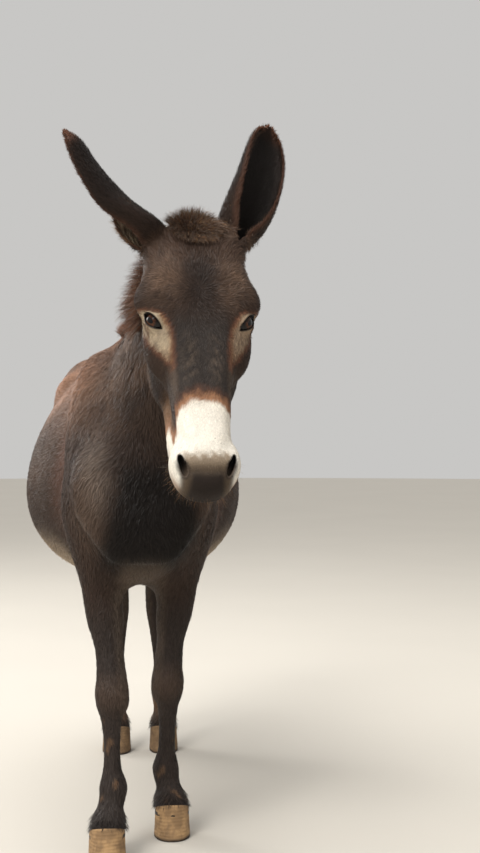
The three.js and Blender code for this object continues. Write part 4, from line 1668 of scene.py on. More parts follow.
    def _face(self, points: Array) -> Array:
        """The head: dark bridge, pale round the eyes, and a white muzzle.

        Args:
            points: Places, one row each.

        Returns:
            A colour for each place.
        """
        head_places = self.anatomy.head_axes.local(points)
        side, up, along = head_places.T
        wide = np.abs(side)
        patches, streaks = waves(points, 60, 5), waves(head_places * (1, 1, 0.28), 15, 6)
        coat = Layers(self.paint, "base", len(points))
        brow = bump(along, 105, 95) * bump(wide, 62, 48) * smooth_step(up, -70, -20)
        strands = waves(head_places * (1, 1, 0.5), 6, 13)
        coat.lay("hazel", brow * np.clip(0.5 + 0.2 * patches + 0.3 * streaks + 0.3 * strands, 0, 1))
        bridge = (1 - smooth_step(wide, 44 - 0.02 * along, 58 - 0.03 * along)) * smooth_step(along, 150, 215)
        coat.lay("slate", bridge * smooth_step(up, -60, -25))
        # painted highlight: light grey streaks of glossy hair along the bridge
        painted_bridge_highlight = bump(wide, 23, 22) * bump(along, 262, 74) * smooth_step(up, -60, -25)
        fine = waves(head_places * (1, 1, 0.45) + np.outer(wide, (0, 0, 0.5)), 5, 15)
        coat.lay("grey", painted_bridge_highlight * np.clip(0.2 + 0.25 * streaks + 0.75 * fine, 0, 0.9))
        # painted highlight: a light grey line along each edge of the bridge
        edge = bump(wide, 52 - 0.06 * (along - 250), 8) * bump(along, 290, 60) * smooth_step(up, -70, -40)
        coat.lay("grey", 0.7 * edge)
        centre = bump(side, 0, 36) * bump(along, 110, 120) * smooth_step(up, -30, 0)
        coat.lay("ear", 0.9 * centre)
        poll = bump(along, 35, 60) * smooth_step(up, -60, 0)
        coat.lay("brown", 0.6 * poll * (0.7 + 0.3 * patches))
        # painted highlight: sheen along the crest of each cheek
        crest = bump(along, 300, 70) * bump(wide, 56, 20) * smooth_step(up, -110, -50)
        coat.lay("sheen", 0.5 * crest * (0.6 + 0.4 * streaks))
        coat.lay("ear", smooth_step(-up, 72, 125) * (1 - smooth_step(along, 280, 350)) * 0.85)
        band = smooth_step(-up, 76, 100) * (1 - smooth_step(-up, 128, 145)) * bump(along, 322, 52)
        coat.lay("tan", 0.6 * band * smooth_step(wide, 40, 52) * (0.8 + 0.3 * streaks))
        self._round_eyes(coat, points, side, up, along)

        border = 331 + 0.0078 * side**2 + 34 * smooth_step(-up, 48, 60) - 44 * smooth_step(-up, 76, 108)
        past = along - border + 5 * waves(points, 24, 9) + 2.5 * streaks
        low = smooth_step(-up, 56, 84)
        coat.lay("tan", 0.6 * low * smooth_step(past, -60, -8) * (0.8 + 0.3 * streaks))
        coat.lay("rust", smooth_step(past, -30, -8) * 0.5 * (1 - 0.6 * low))
        coat.lay("orange", smooth_step(past, -17, -3) * 0.85)
        coat.lay("white", smooth_step(past, 0, 12))
        chin = smooth_step(along, 378, 400) * smooth_step(-up, 96, 116)
        coat.lay("grey", 0.6 * chin)
        low_rim = smooth_step(-up, 52, 80) * smooth_step(along, 440, 470) * smooth_step(wide, 26, 38)
        coat.lay("tan", 0.7 * low_rim)
        down = along + 0.2 * (-30 - up)
        wings = smooth_step(down, 440, 462) * (1 - smooth_step(wide, 38, 48))
        coat.lay("grey", 0.8 * wings)
        # painted shade: dark below the lower end of each nostril
        below = 1 - smooth_step(np.hypot((wide - 37) / 12, (along - 472) / 20), 0.4, 1.15)
        coat.lay("lips", 0.55 * below)
        pad = Layers(self.paint, "belly", len(points))
        pad.lay("nose", smooth_step(along, 438, 462))
        ragged = along + 0.003 * side**2 + 4 * waves(points, 14, 23)
        coat.lay(pad.shade, 0.95 * smooth_step(ragged, 427, 447) * (1 - smooth_step(wide, 34, 47)))
        tip = smooth_step(down + 0.004 * side**2, 452, 480) * (1 - smooth_step(wide - 0.15 * (down - 470), 20, 40))
        coat.lay("lips", 0.97 * tip)
        mouth = bump(up + 104 + 0.03 * (along - 455), 0, 9) * smooth_step(along, 398, 425)
        coat.lay("lips", 0.9 * mouth)
        # painted shade in the nostrils: near-black at the top of each hollow, grey-brown lower down, with a dark margin
        # around it
        hollow = Layers(self.paint, "lining", len(points))
        hollow.lay("grey", 0.8 * smooth_step(along, 442, 464))
        for hole in self.skin.nostrils:
            depth = hole(points)
            coat.lay("lips", 0.8 * (1 - smooth_step(depth, 2, 10)) * smooth_step(along, 436, 456))
            coat.lay(hollow.shade, 1 - smooth_step(depth, 0.5, 4.5))
        coat.lay("lining", 1 - smooth_step(self.skin.eye_margin(points), 0.5, 4.0))
        return coat.shade

    def _round_eyes(self, coat: Layers, points: Array, side: Array, up: Array, along: Array) -> None:
        """Lays the pale patch in front of and below each eye, with its tan border, duller on the left as painted shade.

        Args:
            coat: The colours so far, which gain the patch.
            points: Places, one row each.
            side: Distances to the left of the head.
            up: Distances above the line of the head.
            along: Distances down the head from the poll.
        """
        wide = np.abs(side)
        inner = np.interp(along, (150, 170, 187, 200, 220, 250, 280), (88, 73, 61.5, 55, 51, 50, 51))
        outer = np.interp(along, (155, 182, 211, 231, 247, 266), (112, 98, 88, 75, 64, 50))
        top = 158 + 0.42 * (108 - wide)
        edge = np.minimum(np.minimum(wide - inner, outer - wide), np.minimum(along - top, 270 - along))
        edge = edge + 2.2 * waves(points, 11, 8)
        on_top = smooth_step(up, -66, -50)
        coat.lay("rust", smooth_step(edge, -8, -1) * on_top * 0.6)
        warm = bump(np.hypot(wide - 58, along - 184), 0, 20) + 0.8 * smooth_step(along, 222, 262)
        warm = warm + bump(wide - inner, 1, 7)
        pale = Layers(self.paint, "cream", len(points))
        pale.lay("tan", 0.75 * warm)
        flecks = waves(points * (1, 1, 0.4), 7, 12) * smooth_step(along, 190, 215)
        pale.lay("grey", np.clip(0.2 + 0.5 * flecks, 0, 0.6))
        # painted shade: the patch on the left side of the head is duller
        far = 1 - 0.45 * smooth_step(side, -10, 10)
        coat.lay(pale.shade, smooth_step(edge, -2, 4) * on_top * far * (1 - 0.4 * smooth_step(along, 230, 265)))


# ------------------------------------------------------------- lie of the coat
class Lie:
    """Which way the hair lies, and how long, wide and dense it is."""

    WHORL = 128.0  # how far down the face the forehead's whorl is

    def __init__(self, anatomy: Anatomy, skin: SkinField) -> None:
        """Keeps what the lie depends on."""
        self.anatomy, self.skin = anatomy, skin

    def flow(self, points: Array, normals: Array, ear: Array) -> Array:
        """Unit directions along the skin in which the hair points.

        Args:
            points: Places, one row each.
            normals: The skin's normals at those places.
            ear: How far each place belongs to an ear, from 0 to 1.

        Returns:
            The directions, one row each.
        """
        x, y, z = points.T
        s = np.sign(x)
        zero, one = np.zeros(len(points)), np.ones(len(points))
        behind = smooth_step(y, -60, 220)
        trunk = np.stack([0.25 * s * (1 - behind), 0.15 + behind, -1.05 + 0.45 * behind], axis=1)
        neck_axes = self.anatomy.neck_axes
        neck = -0.75 * neck_axes.along + np.stack([0.1 * s, zero, -0.8 * one], axis=1)
        leg = np.stack([zero, 0.12 * one, -one], axis=1)
        flow = trunk + (neck - trunk) * smooth_step(-y, 40, 190)[:, None]
        on_leg_part = (1 - smooth_step(z, 560, 720))[:, None]
        off_belly = (1 - smooth_step(z, 500, 530) * bump(y, 400, 300))[:, None]
        flow = flow + (leg - flow) * on_leg_part * off_belly
        flow = flow + (leg - flow) * smooth_step(y, 1040, 1065)[:, None]
        flow = flow + (self._on_face(points) - flow) * smooth_step(-y, 385, 430)[:, None]
        swirl = 0.55 * waves(points, 120, 21) * smooth_step(z, 250, 700) + 0.35 * waves(points, 34, 22)
        flow = self._along_skin(flow, normals)
        flow = unit(flow + np.cross(normals, flow) * swirl[:, None])
        return np.where(ear[:, None] > 0.5, self._on_ears(points, normals), flow)

    @staticmethod
    def _along_skin(flow: Array, normals: Array) -> Array:
        """Directions laid flat on the skin."""
        return unit(flow - normals * (flow * normals).sum(axis=1, keepdims=True))

    def _on_face(self, points: Array) -> Array:
        """From the whorl outwards on the forehead, then down the face and cheeks.

        Args:
            points: Places, one row each.

        Returns:
            The directions, one row each.
        """
        side, up, along = self.anatomy.head_axes.local(points).T
        down = along - self.WHORL
        from_whorl = unit(np.stack([side, np.zeros(len(points)), down], axis=1))
        far = smooth_step(np.hypot(side, down), 20, 90)
        ahead = np.where(down > 0, 1.0, -1.0)
        below = np.stack([0.012 * side, np.zeros(len(points)), ahead * smooth_step(np.abs(down), 0, 60)], axis=1)
        face = from_whorl + (below - from_whorl) * far[:, None] * smooth_step(down, -30, 60)[:, None]
        cheek = np.stack([0.1 * np.sign(side), -0.75 * np.ones(len(points)), 0.55 * np.ones(len(points))], axis=1)
        low = smooth_step(-up, 50, 110)[:, None]
        return self.anatomy.head_axes.turned(face + (cheek - face) * low)

    def _on_ears(self, points: Array, normals: Array) -> Array:
        """Towards the tip and a little towards the rim.

        Args:
            points: Places, one row each.
            normals: The skin's normals at those places.

        Returns:
            The directions, one row each.
        """
        flow = np.zeros_like(points)
        for ear in self.anatomy.ears.values():
            near = ear.surrounds(points)
            share, turn, inwards = ear.coordinates(points[near])
            rim = ear.place(share, turn * 1.15, np.zeros(len(share))) - ear.place(share, turn, np.zeros(len(share)))
            inside = smooth_step(inwards, 0.5, 2)[:, None]
            flow[near] = ear.axes.along + unit(rim) * (0.25 + 0.45 * inside)
        return self._along_skin(flow, normals)

    def hair(self, points: Array, ear: Array) -> tuple[Array, Array, Array]:
        """Length and width of a tuft in metres, and how far it stands off the skin.

        Args:
            points: Places, one row each.
            ear: How far each place belongs to an ear, from 0 to 1.

        Returns:
            The lengths, widths and lifts.
        """
        side, up, along = self.anatomy.head_axes.local(points).T
        _, y, z = points.T
        length = 12 + 4 * smooth_step(z, 380, 640)
        length = length + 9 * bump(z, 560, 90) * smooth_step(y, 120, 300)
        face = 8.5 - 3 * smooth_step(along, 150, 260) - 2 * smooth_step(along, 330, 380)
        face = face + 6 * smooth_step(-up, 100, 170) * (1 - smooth_step(along, 250, 360))
        face = face + 5 * (1 - smooth_step(along, 30, 140)) + 3 * bump(along - 0.0078 * side**2, 326, 16)
        length = length + (face - length) * smooth_step(-y, 370, 430)
        coronet = 1 - smooth_step(z, 84, 106)
        length = length + 5 * coronet
        share, inside = self._in_ears(points)
        length = np.where(ear > 0.5, 9.5 - 3.5 * smooth_step(share, 0.7, 1.0) - 4 * inside, length)
        width = 0.5 + 0.058 * length
        face_on = smooth_step(-y, 430, 470)
        lift = 0.06 + 0.05 * smooth_step(z, 300, 700) + 0.1 * face_on * (1 - smooth_step(along, 150, 220))
        lift = np.where(along > 345, lift * (1 - 0.6 * face_on), lift)
        lift = lift + 0.3 * coronet
        lift = np.where(ear > 0.5, 0.2 - 0.1 * inside + 0.16 * bump(share, 0.86, 0.2), lift)
        small = 0.45 + 0.55 * smooth_step(self.skin.eye_margin(points), 3, 16)
        return length * small * MM, width * (0.6 + 0.4 * small) * MM, lift

    def _in_ears(self, points: Array) -> tuple[Array, Array]:
        """Share of an ear's length at each point, and 1 on an ear's inner side.

        Args:
            points: Places, one row each.

        Returns:
            The shares and the marks.
        """
        share, inside = np.zeros(len(points)), np.zeros(len(points))
        for ear in self.anatomy.ears.values():
            near = ear.surrounds(points)
            share[near], turn, inwards = ear.coordinates(points[near])
            inside[near] = smooth_step(inwards, 0.5, 2.0) * (1 - smooth_step(np.abs(turn), 0.8, 0.95))
        return share, inside

    def density(self, points: Array, ear: Array) -> Array:
        """How closely the tufts stand, as a share of the closest.

        Args:
            points: Places, one row each.
            ear: How far each place belongs to an ear, from 0 to 1.

        Returns:
            The shares.
        """
        _, up, along = self.anatomy.head_axes.local(points).T
        length, _, _ = self.hair(points, ear)
        close = np.clip((0.016 / length) ** 1.2, 0.5, 3.2)
        bare = np.ones(len(points))
        for hole in self.skin.nostrils:
            bare *= smooth_step(hole(points), 1, 5)
        bare *= smooth_step(self.skin.eye_margin(points), 2.5, 6)
        on_head = points[:, 1] < FACE_Y
        mouth = bump(up + 104 + 0.03 * (along - 455), 0, 7) * smooth_step(along, 398, 410) * on_head
        tip = smooth_step(along, 462, 480) * on_head
        bare *= (1 - 0.9 * mouth) * (1 - 0.75 * tip)
        _, inside = self._in_ears(points)
        x, y, z = points.T
        fore = np.where(x > 0, self.anatomy.fore_y(1), self.anatomy.fore_y(-1))
        over_hoof = z + 0.34 * (y - np.where(y > FORE_TO_HIND_Y, BUILD.hind_y, fore))
        return close * bare * (1 - 0.8 * inside * ear) * np.where(z < 120, smooth_step(over_hoof, 64, 68), 1.0)


@dataclass
class Scalp:
    """What the coat needs of the skin, as arrays over its points and triangles."""

    points: Array
    normals: Array
    triangles: Array
    ear: Array
    colours: Array
    flow: Array
    length: Array
    width: Array
    lift: Array
    density: Array
    places: Array  # the map's place of each corner of each triangle

    @classmethod
    def of(cls, skin: Skin, markings: Markings, lie: Lie) -> Scalp:
        """Reads the built skin and works out its coat.

        Args:
            skin: The built skin.
            markings: The colours of the coat.
            lie: How the hair lies.

        Returns:
            The scalp.
        """
        mesh = skin.object.data
        points, normals = skin.placement.working(points_of(mesh)), rows_of(mesh.vertex_normals, "vector")
        ear = np.zeros(len(points))
        for shell in skin.anatomy.ears.values():
            share = shell.axes.local(points)[:, 2] / shell.length
            gap = np.abs(shell(points))
            ear = np.maximum(ear, (gap < 1.6) * smooth_step(share, 0.04, 0.1))
        places = np.empty(len(mesh.loops) * 2, np.float32)
        mesh.uv_layers["OFBake"].uv.foreach_get("vector", places)
        length, width, lift = lie.hair(points, ear)
        return cls(
            points=points,
            normals=normals,
            triangles=triangles_of(mesh),
            ear=ear,
            colours=markings.at(points, normals, ear),
            flow=lie.flow(points, normals, ear),
            length=length,
            width=width,
            lift=lift,
            density=lie.density(points, ear),
            places=places.reshape(-1, 3, 2),
        )

    def areas(self) -> Array:
        """Area of each triangle, in square millimetres."""
        a, b, c = (self.points[self.triangles[:, i]] for i in range(3))
        return np.linalg.norm(np.cross(b - a, c - a), axis=1) / 2

    def middles(self) -> Array:
        """Middle of each triangle."""
        return self.points[self.triangles].mean(axis=1)


# ----------------------------------------------------------- geometry nodes
class Graph:
    """A node tree being built, with short ways to add and join nodes."""

    def __init__(self, tree: bpy.types.NodeTree) -> None:
        """Keeps the tree."""
        self.tree = tree

    def node(self, kind: str, settings: dict | None = None, **inputs: object) -> bpy.types.Node:
        """Adds a node.

        Args:
            kind: The node's type.
            settings: Properties to set on it.
            **inputs: Sockets to join or values to set, by name with underscores
                for spaces, or by number as i0, i1 and so on.

        Returns:
            The new node.
        """
        made = self.tree.nodes.new(kind)
        for key, value in (settings or {}).items():
            setattr(made, key, value)
        for key, value in inputs.items():
            number = key[1:] if key[0] == "i" and key[1:].isdigit() else None
            socket = made.inputs[int(number)] if number else made.inputs[key.replace("_", " ")]
            self.feed(value, socket)
        return made

    def feed(self, value: object, socket: Socket) -> None:
        """Joins a node's first output or a socket, or sets a value.

        Args:
            value: A node, a socket or a plain value.
            socket: The input that takes it.
        """
        if isinstance(value, bpy.types.Node):
            value = next(o for o in value.outputs if o.enabled)
        if isinstance(value, Socket):
            self.tree.links.new(value, socket)
        else:
            socket.default_value = value


class TuftMeshes:
    """Small blades of hair, one unit long and wide, which the coat repeats."""

    SHAPES = ((0.30, 0.09, 0.06), (0.45, 0.12, -0.12), (0.36, 0.07, 0.16))

    def __init__(self) -> None:
        """Makes the blades in a collection of their own."""
        self.collection = bpy.data.collections.new("tufts")
        bpy.context.scene.collection.children.link(self.collection)
        for number, (belly, rise, sway) in enumerate(self.SHAPES):
            self.collection.objects.link(self._blade(f"tuft_{number}", belly, rise, sway))

    @staticmethod
    def _blade(name: str, belly: float, rise: float, sway: float) -> Object:
        """One blade: a foot under the skin, a wide middle and a tip that comes down.

        Args:
            name: The blade's name.
            belly: How far along the blade is widest.
            rise: How high its middle stands, for a length of one.
            sway: How far its tip goes to the side.

        Returns:
            The blade's object, of three triangles.
        """
        points = np.array([
            [-0.30, -0.06, -0.05],
            [0.30, -0.06, -0.05],
            [0.5 + sway * 0.4, belly, rise],
            [-0.5 + sway * 0.4, belly, rise],
            [sway, 1.0, rise * 0.75],
        ])
        faces = np.array([[0, 1, 2], [0, 2, 3], [3, 2, 4]])
        mesh = mesh_from(name, points, faces)
        tip = np.clip(points[:, 1], 0, 1)
        set_attribute(mesh, "tuft", np.stack([points[:, 0], points[:, 1] - 0.5, tip], axis=1))
        return bpy.data.objects.new(name, mesh)

    def discard(self) -> None:
        """Takes the blades out of the file."""
        for blade in list(self.collection.objects):
            discard(blade)
        bpy.data.collections.remove(self.collection)


class CoatGraph:
    """Geometry Nodes that scatter tufts over a scalp, lying along its flow."""

    PATCH = 0.003  # width of a tuft's patch on the map

    def __init__(self) -> None:
        """Builds the tree."""
        self.tree = bpy.data.node_groups.new("coat", "GeometryNodeTree")
        face = self.tree.interface
        face.new_socket(name="Geometry", in_out="OUTPUT", socket_type="NodeSocketGeometry")
        kinds = (
            ("Geometry", "NodeSocketGeometry"),
            ("Tufts", "NodeSocketCollection"),
            ("Closeness", "NodeSocketFloat"),
            ("Seed", "NodeSocketInt"),
            ("Disorder", "NodeSocketFloat"),
            ("Finish", "NodeSocketMaterial"),
        )
        self.sockets = {n: face.new_socket(name=n, in_out="INPUT", socket_type=k).identifier for n, k in kinds}
        self.graph = Graph(self.tree)
        self._join()

    def _attribute(self, name: str, kind: str = "FLOAT") -> Socket:
        """The socket of a named attribute."""
        made = self.graph.node("GeometryNodeInputNamedAttribute", {"data_type": kind}, Name=name)
        return next(o for o in made.outputs if o.enabled and o.name == "Attribute")

    def _random(self, low: float, high: float, seed: Socket, key: int) -> Socket:
        """A random number for each tuft.

        Args:
            low: The least that it may be.
            high: The most that it may be.
            seed: The tree's seed.
            key: Keeps this number apart from the others.

        Returns:
            The number.
        """
        shifted = self.graph.node("ShaderNodeMath", {"operation": "ADD"}, i0=seed, i1=float(key * 17))
        made = self.graph.node("FunctionNodeRandomValue", {"data_type": "FLOAT"}, Seed=shifted)
        made.inputs[2].default_value, made.inputs[3].default_value = low, high
        return next(o for o in made.outputs if o.enabled)

    def _math(self, operation: str, a: object, b: object) -> Socket:
        """The result of one sum."""
        return self.graph.node("ShaderNodeMath", {"operation": operation}, i0=a, i1=b).outputs[0]

    def _join(self) -> None:
        """Adds every node, from the scalp to the finished coat."""
        g = self.graph
        given = g.node("NodeGroupInput")
        seed, disorder = given.outputs["Seed"], given.outputs["Disorder"]
        close = self._math("MULTIPLY", self._attribute("density"), given.outputs["Closeness"])
        scattered = g.node(
            "GeometryNodeDistributePointsOnFaces",
            {"distribute_method": "RANDOM"},
            Mesh=given.outputs["Geometry"],
            Density=close,
            Seed=seed,
        )
        kept = g.node(
            "GeometryNodeStoreNamedAttribute",
            {"data_type": "FLOAT_VECTOR", "domain": "POINT"},
            Geometry=scattered.outputs["Points"],
            Name="place",
            Value=self._attribute("OFBake", "FLOAT_VECTOR"),
        )
        shaded = g.node(
            "GeometryNodeStoreNamedAttribute",
            {"data_type": "FLOAT", "domain": "POINT"},
            Geometry=kept,
            Name="shade",
            Value=self._random(0.0, 1.0, seed, 1),
        )
        stood = g.node(
            "FunctionNodeAxesToRotation",
            {"primary_axis": "Z", "secondary_axis": "Y"},
            Primary_Axis=self._attribute("rise", "FLOAT_VECTOR"),
            Secondary_Axis=self._attribute("flow", "FLOAT_VECTOR"),
        )
        turn = self._math("MULTIPLY", self._random(-1.0, 1.0, seed, 2), disorder)
        lift = self._math("MULTIPLY", self._attribute("lift"), self._random(0.0, 1.7, seed, 3))
        roll = self._random(-0.5, 0.5, seed, 4)
        angles = g.node("ShaderNodeCombineXYZ", X=lift, Y=roll, Z=turn)
        bent = g.node("FunctionNodeEulerToRotation", Euler=angles)
        turned = g.node("FunctionNodeRotateRotation", {"rotation_space": "LOCAL"}, Rotation=stood, Rotate_By=bent)
        long = self._math("MULTIPLY", self._attribute("length"), self._random(0.65, 1.25, seed, 5))
        wide = self._math("MULTIPLY", self._attribute("width"), self._random(0.6, 1.2, seed, 6))
        size = g.node("ShaderNodeCombineXYZ", X=wide, Y=long, Z=long)
        blades = g.node("GeometryNodeCollectionInfo", Collection=given.outputs["Tufts"])
        blades.inputs["Separate Children"].default_value = True
        blades.inputs["Reset Children"].default_value = True
        laid = g.node(
            "GeometryNodeInstanceOnPoints",
            Points=shaded,
            Instance=blades,
            Rotation=turned,
            Scale=size,
        )
        laid.inputs["Pick Instance"].default_value = True
        whole = g.node("GeometryNodeRealizeInstances", Geometry=laid)
        patch = g.node("ShaderNodeVectorMath", {"operation": "SCALE"}, i0=self._attribute("tuft", "FLOAT_VECTOR"))
        patch.inputs["Scale"].default_value = self.PATCH
        spot = g.node(
            "ShaderNodeVectorMath", {"operation": "ADD"}, i0=self._attribute("place", "FLOAT_VECTOR"), i1=patch
        )
        mapped = g.node(
            "GeometryNodeStoreNamedAttribute",
            {"data_type": "FLOAT2", "domain": "CORNER"},
            Geometry=whole,
            Name="OFBake",
            Value=spot,
        )
        bare: bpy.types.Node = mapped
        for name in ("place", "flow", "rise", "length", "width", "lift", "density"):
            bare = g.node("GeometryNodeRemoveAttribute", Geometry=bare, Name=name)
        dressed = g.node("GeometryNodeSetMaterial", Geometry=bare, Material=given.outputs["Finish"])
        g.node("NodeGroupOutput", Geometry=dressed)


@dataclass(frozen=True)
class Patch:
    """One piece of the coat: where it grows, how many tufts and how unruly."""

    name: str
    tufts: int
    seed: int
    disorder: float
    covers: Callable[[Array, Array], Array]


def in_front_of(points: Array, point: Sequence[float], normal: Sequence[float]) -> Array:
    """Which points lie on the side of a plane that its normal points to."""
    return (points - np.asarray(point, float)) @ np.asarray(normal, float) > 0


def on_head(points: Array, ear: Array) -> Array:
    """Which places are on the head but not on the ears."""
    return in_front_of(points, (BUILD.poll[0], -366, 1275), (0, -0.858, -0.513)) & (ear < 0.5) & ~on_leg(points)


def on_neck(points: Array, ear: Array) -> Array:
    """Which places are on the neck."""
    front = in_front_of(points, (0, 60, 1115), (0, -0.788, 0.616))
    return front & ~on_head(points, ear) & (ear < 0.5) & ~on_leg(points)


def on_leg(points: Array) -> Array:
    """Which places are on a leg below the elbow or stifle."""
    return (points[:, 2] < np.where(points[:, 1] < FORE_TO_HIND_Y, 545, 590)) & (points[:, 1] < TAIL_Y)


def elsewhere(points: Array, ear: Array) -> Array:
    """Which places are on the trunk, the upper legs or the tail."""
    return ~(on_head(points, ear) | on_neck(points, ear) | on_leg(points)) & (ear < 0.5)


PATCHES = (
    Patch("coat_head", 66000, 11, 0.3, on_head),
    Patch("coat_ears", 28000, 12, 0.3, lambda p, e: e >= 0.5),
    Patch("coat_neck", 58000, 13, 0.35, on_neck),
    Patch("coat_shoulders", 62000, 14, 0.35, lambda p, e: elsewhere(p, e) & (p[:, 1] <= 215)),
    Patch("coat_barrel", 56000, 15, 0.3, lambda p, e: elsewhere(p, e) & (p[:, 1] > 215) & (p[:, 1] <= 690)),
    Patch("coat_rump", 54000, 16, 0.3, lambda p, e: elsewhere(p, e) & (p[:, 1] > 690)),
    Patch("coat_fore_legs", 42000, 17, 0.25, lambda p, e: on_leg(p) & (p[:, 1] < FORE_TO_HIND_Y)),
    Patch("coat_hind_legs", 42000, 18, 0.25, lambda p, e: on_leg(p) & (p[:, 1] >= FORE_TO_HIND_Y)),
)


class Coat:
    """The short hair of the whole animal, in pieces."""

    def __init__(self, scalp: Scalp, placement: Placement, finish: bpy.types.Material) -> None:
        """Keeps the scalp and makes the tufts and their graph."""
        self.scalp, self.placement, self.finish = scalp, placement, finish
        self.tufts, self.graph = TuftMeshes(), CoatGraph()

    def build(self, patches: Sequence[Patch] = PATCHES) -> list[Object]:
        """Grows every piece and then takes the single tufts out of the file.

        Args:
            patches: The parts of the coat.

        Returns:
            One object for each part.
        """
        middles = self.scalp.middles()
        ear = self.scalp.ear[self.scalp.triangles].mean(axis=1)
        areas = self.scalp.areas()
        made = [self._grow(patch, patch.covers(middles, ear), areas) for patch in patches]
        self.tufts.discard()
        return made

    def _grow(self, patch: Patch, chosen: Array, areas: Array) -> Object:
        """Grows one piece on the chosen triangles.

        Args:
            patch: The piece.
            chosen: Which of the scalp's triangles it covers.
            areas: Area of every triangle.

        Returns:
            The piece's object.
        """
        s = self.scalp
        triangles, places = s.triangles[chosen], s.places[chosen]
        used, numbers = np.unique(triangles, return_inverse=True)
        mesh = mesh_from("scalp", self.placement.shared(s.points[used]), numbers.reshape(-1, 3))
        for name, values in (
            ("rise", s.normals),
            ("flow", s.flow),
            ("coat", s.colours),
            ("length", s.length),
            ("width", s.width),
            ("lift", s.lift),
            ("density", s.density),
        ):
            set_attribute(mesh, name, values[used])
        mesh.uv_layers.new(name="OFBake").uv.foreach_set("vector", places.astype(np.float32).ravel())
        share = s.density[triangles].mean(axis=1)
        closeness = patch.tufts / (float((share * areas[chosen]).sum()) * MM**2)
        owner = object_from(mesh)
        grower = owner.modifiers.new("coat", "NODES")
        grower.node_group = self.graph.tree
        values = {"Tufts": self.tufts.collection, "Closeness": closeness, "Seed": patch.seed}
        values |= {"Disorder": patch.disorder, "Finish": self.finish}
        for name, value in values.items():
            grower[self.graph.sockets[name]] = value
        grown = evaluated_mesh(owner)
        discard(owner)
        self.placement.hold_in(grown)
        grown.name = patch.name
        LOG.info("%s: %d triangles", patch.name, len(grown.polygons))
        return object_from(grown)


# ------------------------------------------------------------------ long hair
@dataclass
class Roots:
    """Where some hairs are rooted, as arrays with one row for each hair."""

    points: Array
    normals: Array
    flow: Array
    colours: Array
    places: Array

    def __len__(self) -> int:
        """The number of hairs."""
        return len(self.points)

    @classmethod
    def joined(cls, several: Sequence[Roots]) -> Roots:
        """One set of roots from several."""
        return cls(*(np.concatenate([getattr(roots, kept.name) for roots in several]) for kept in fields(cls)))


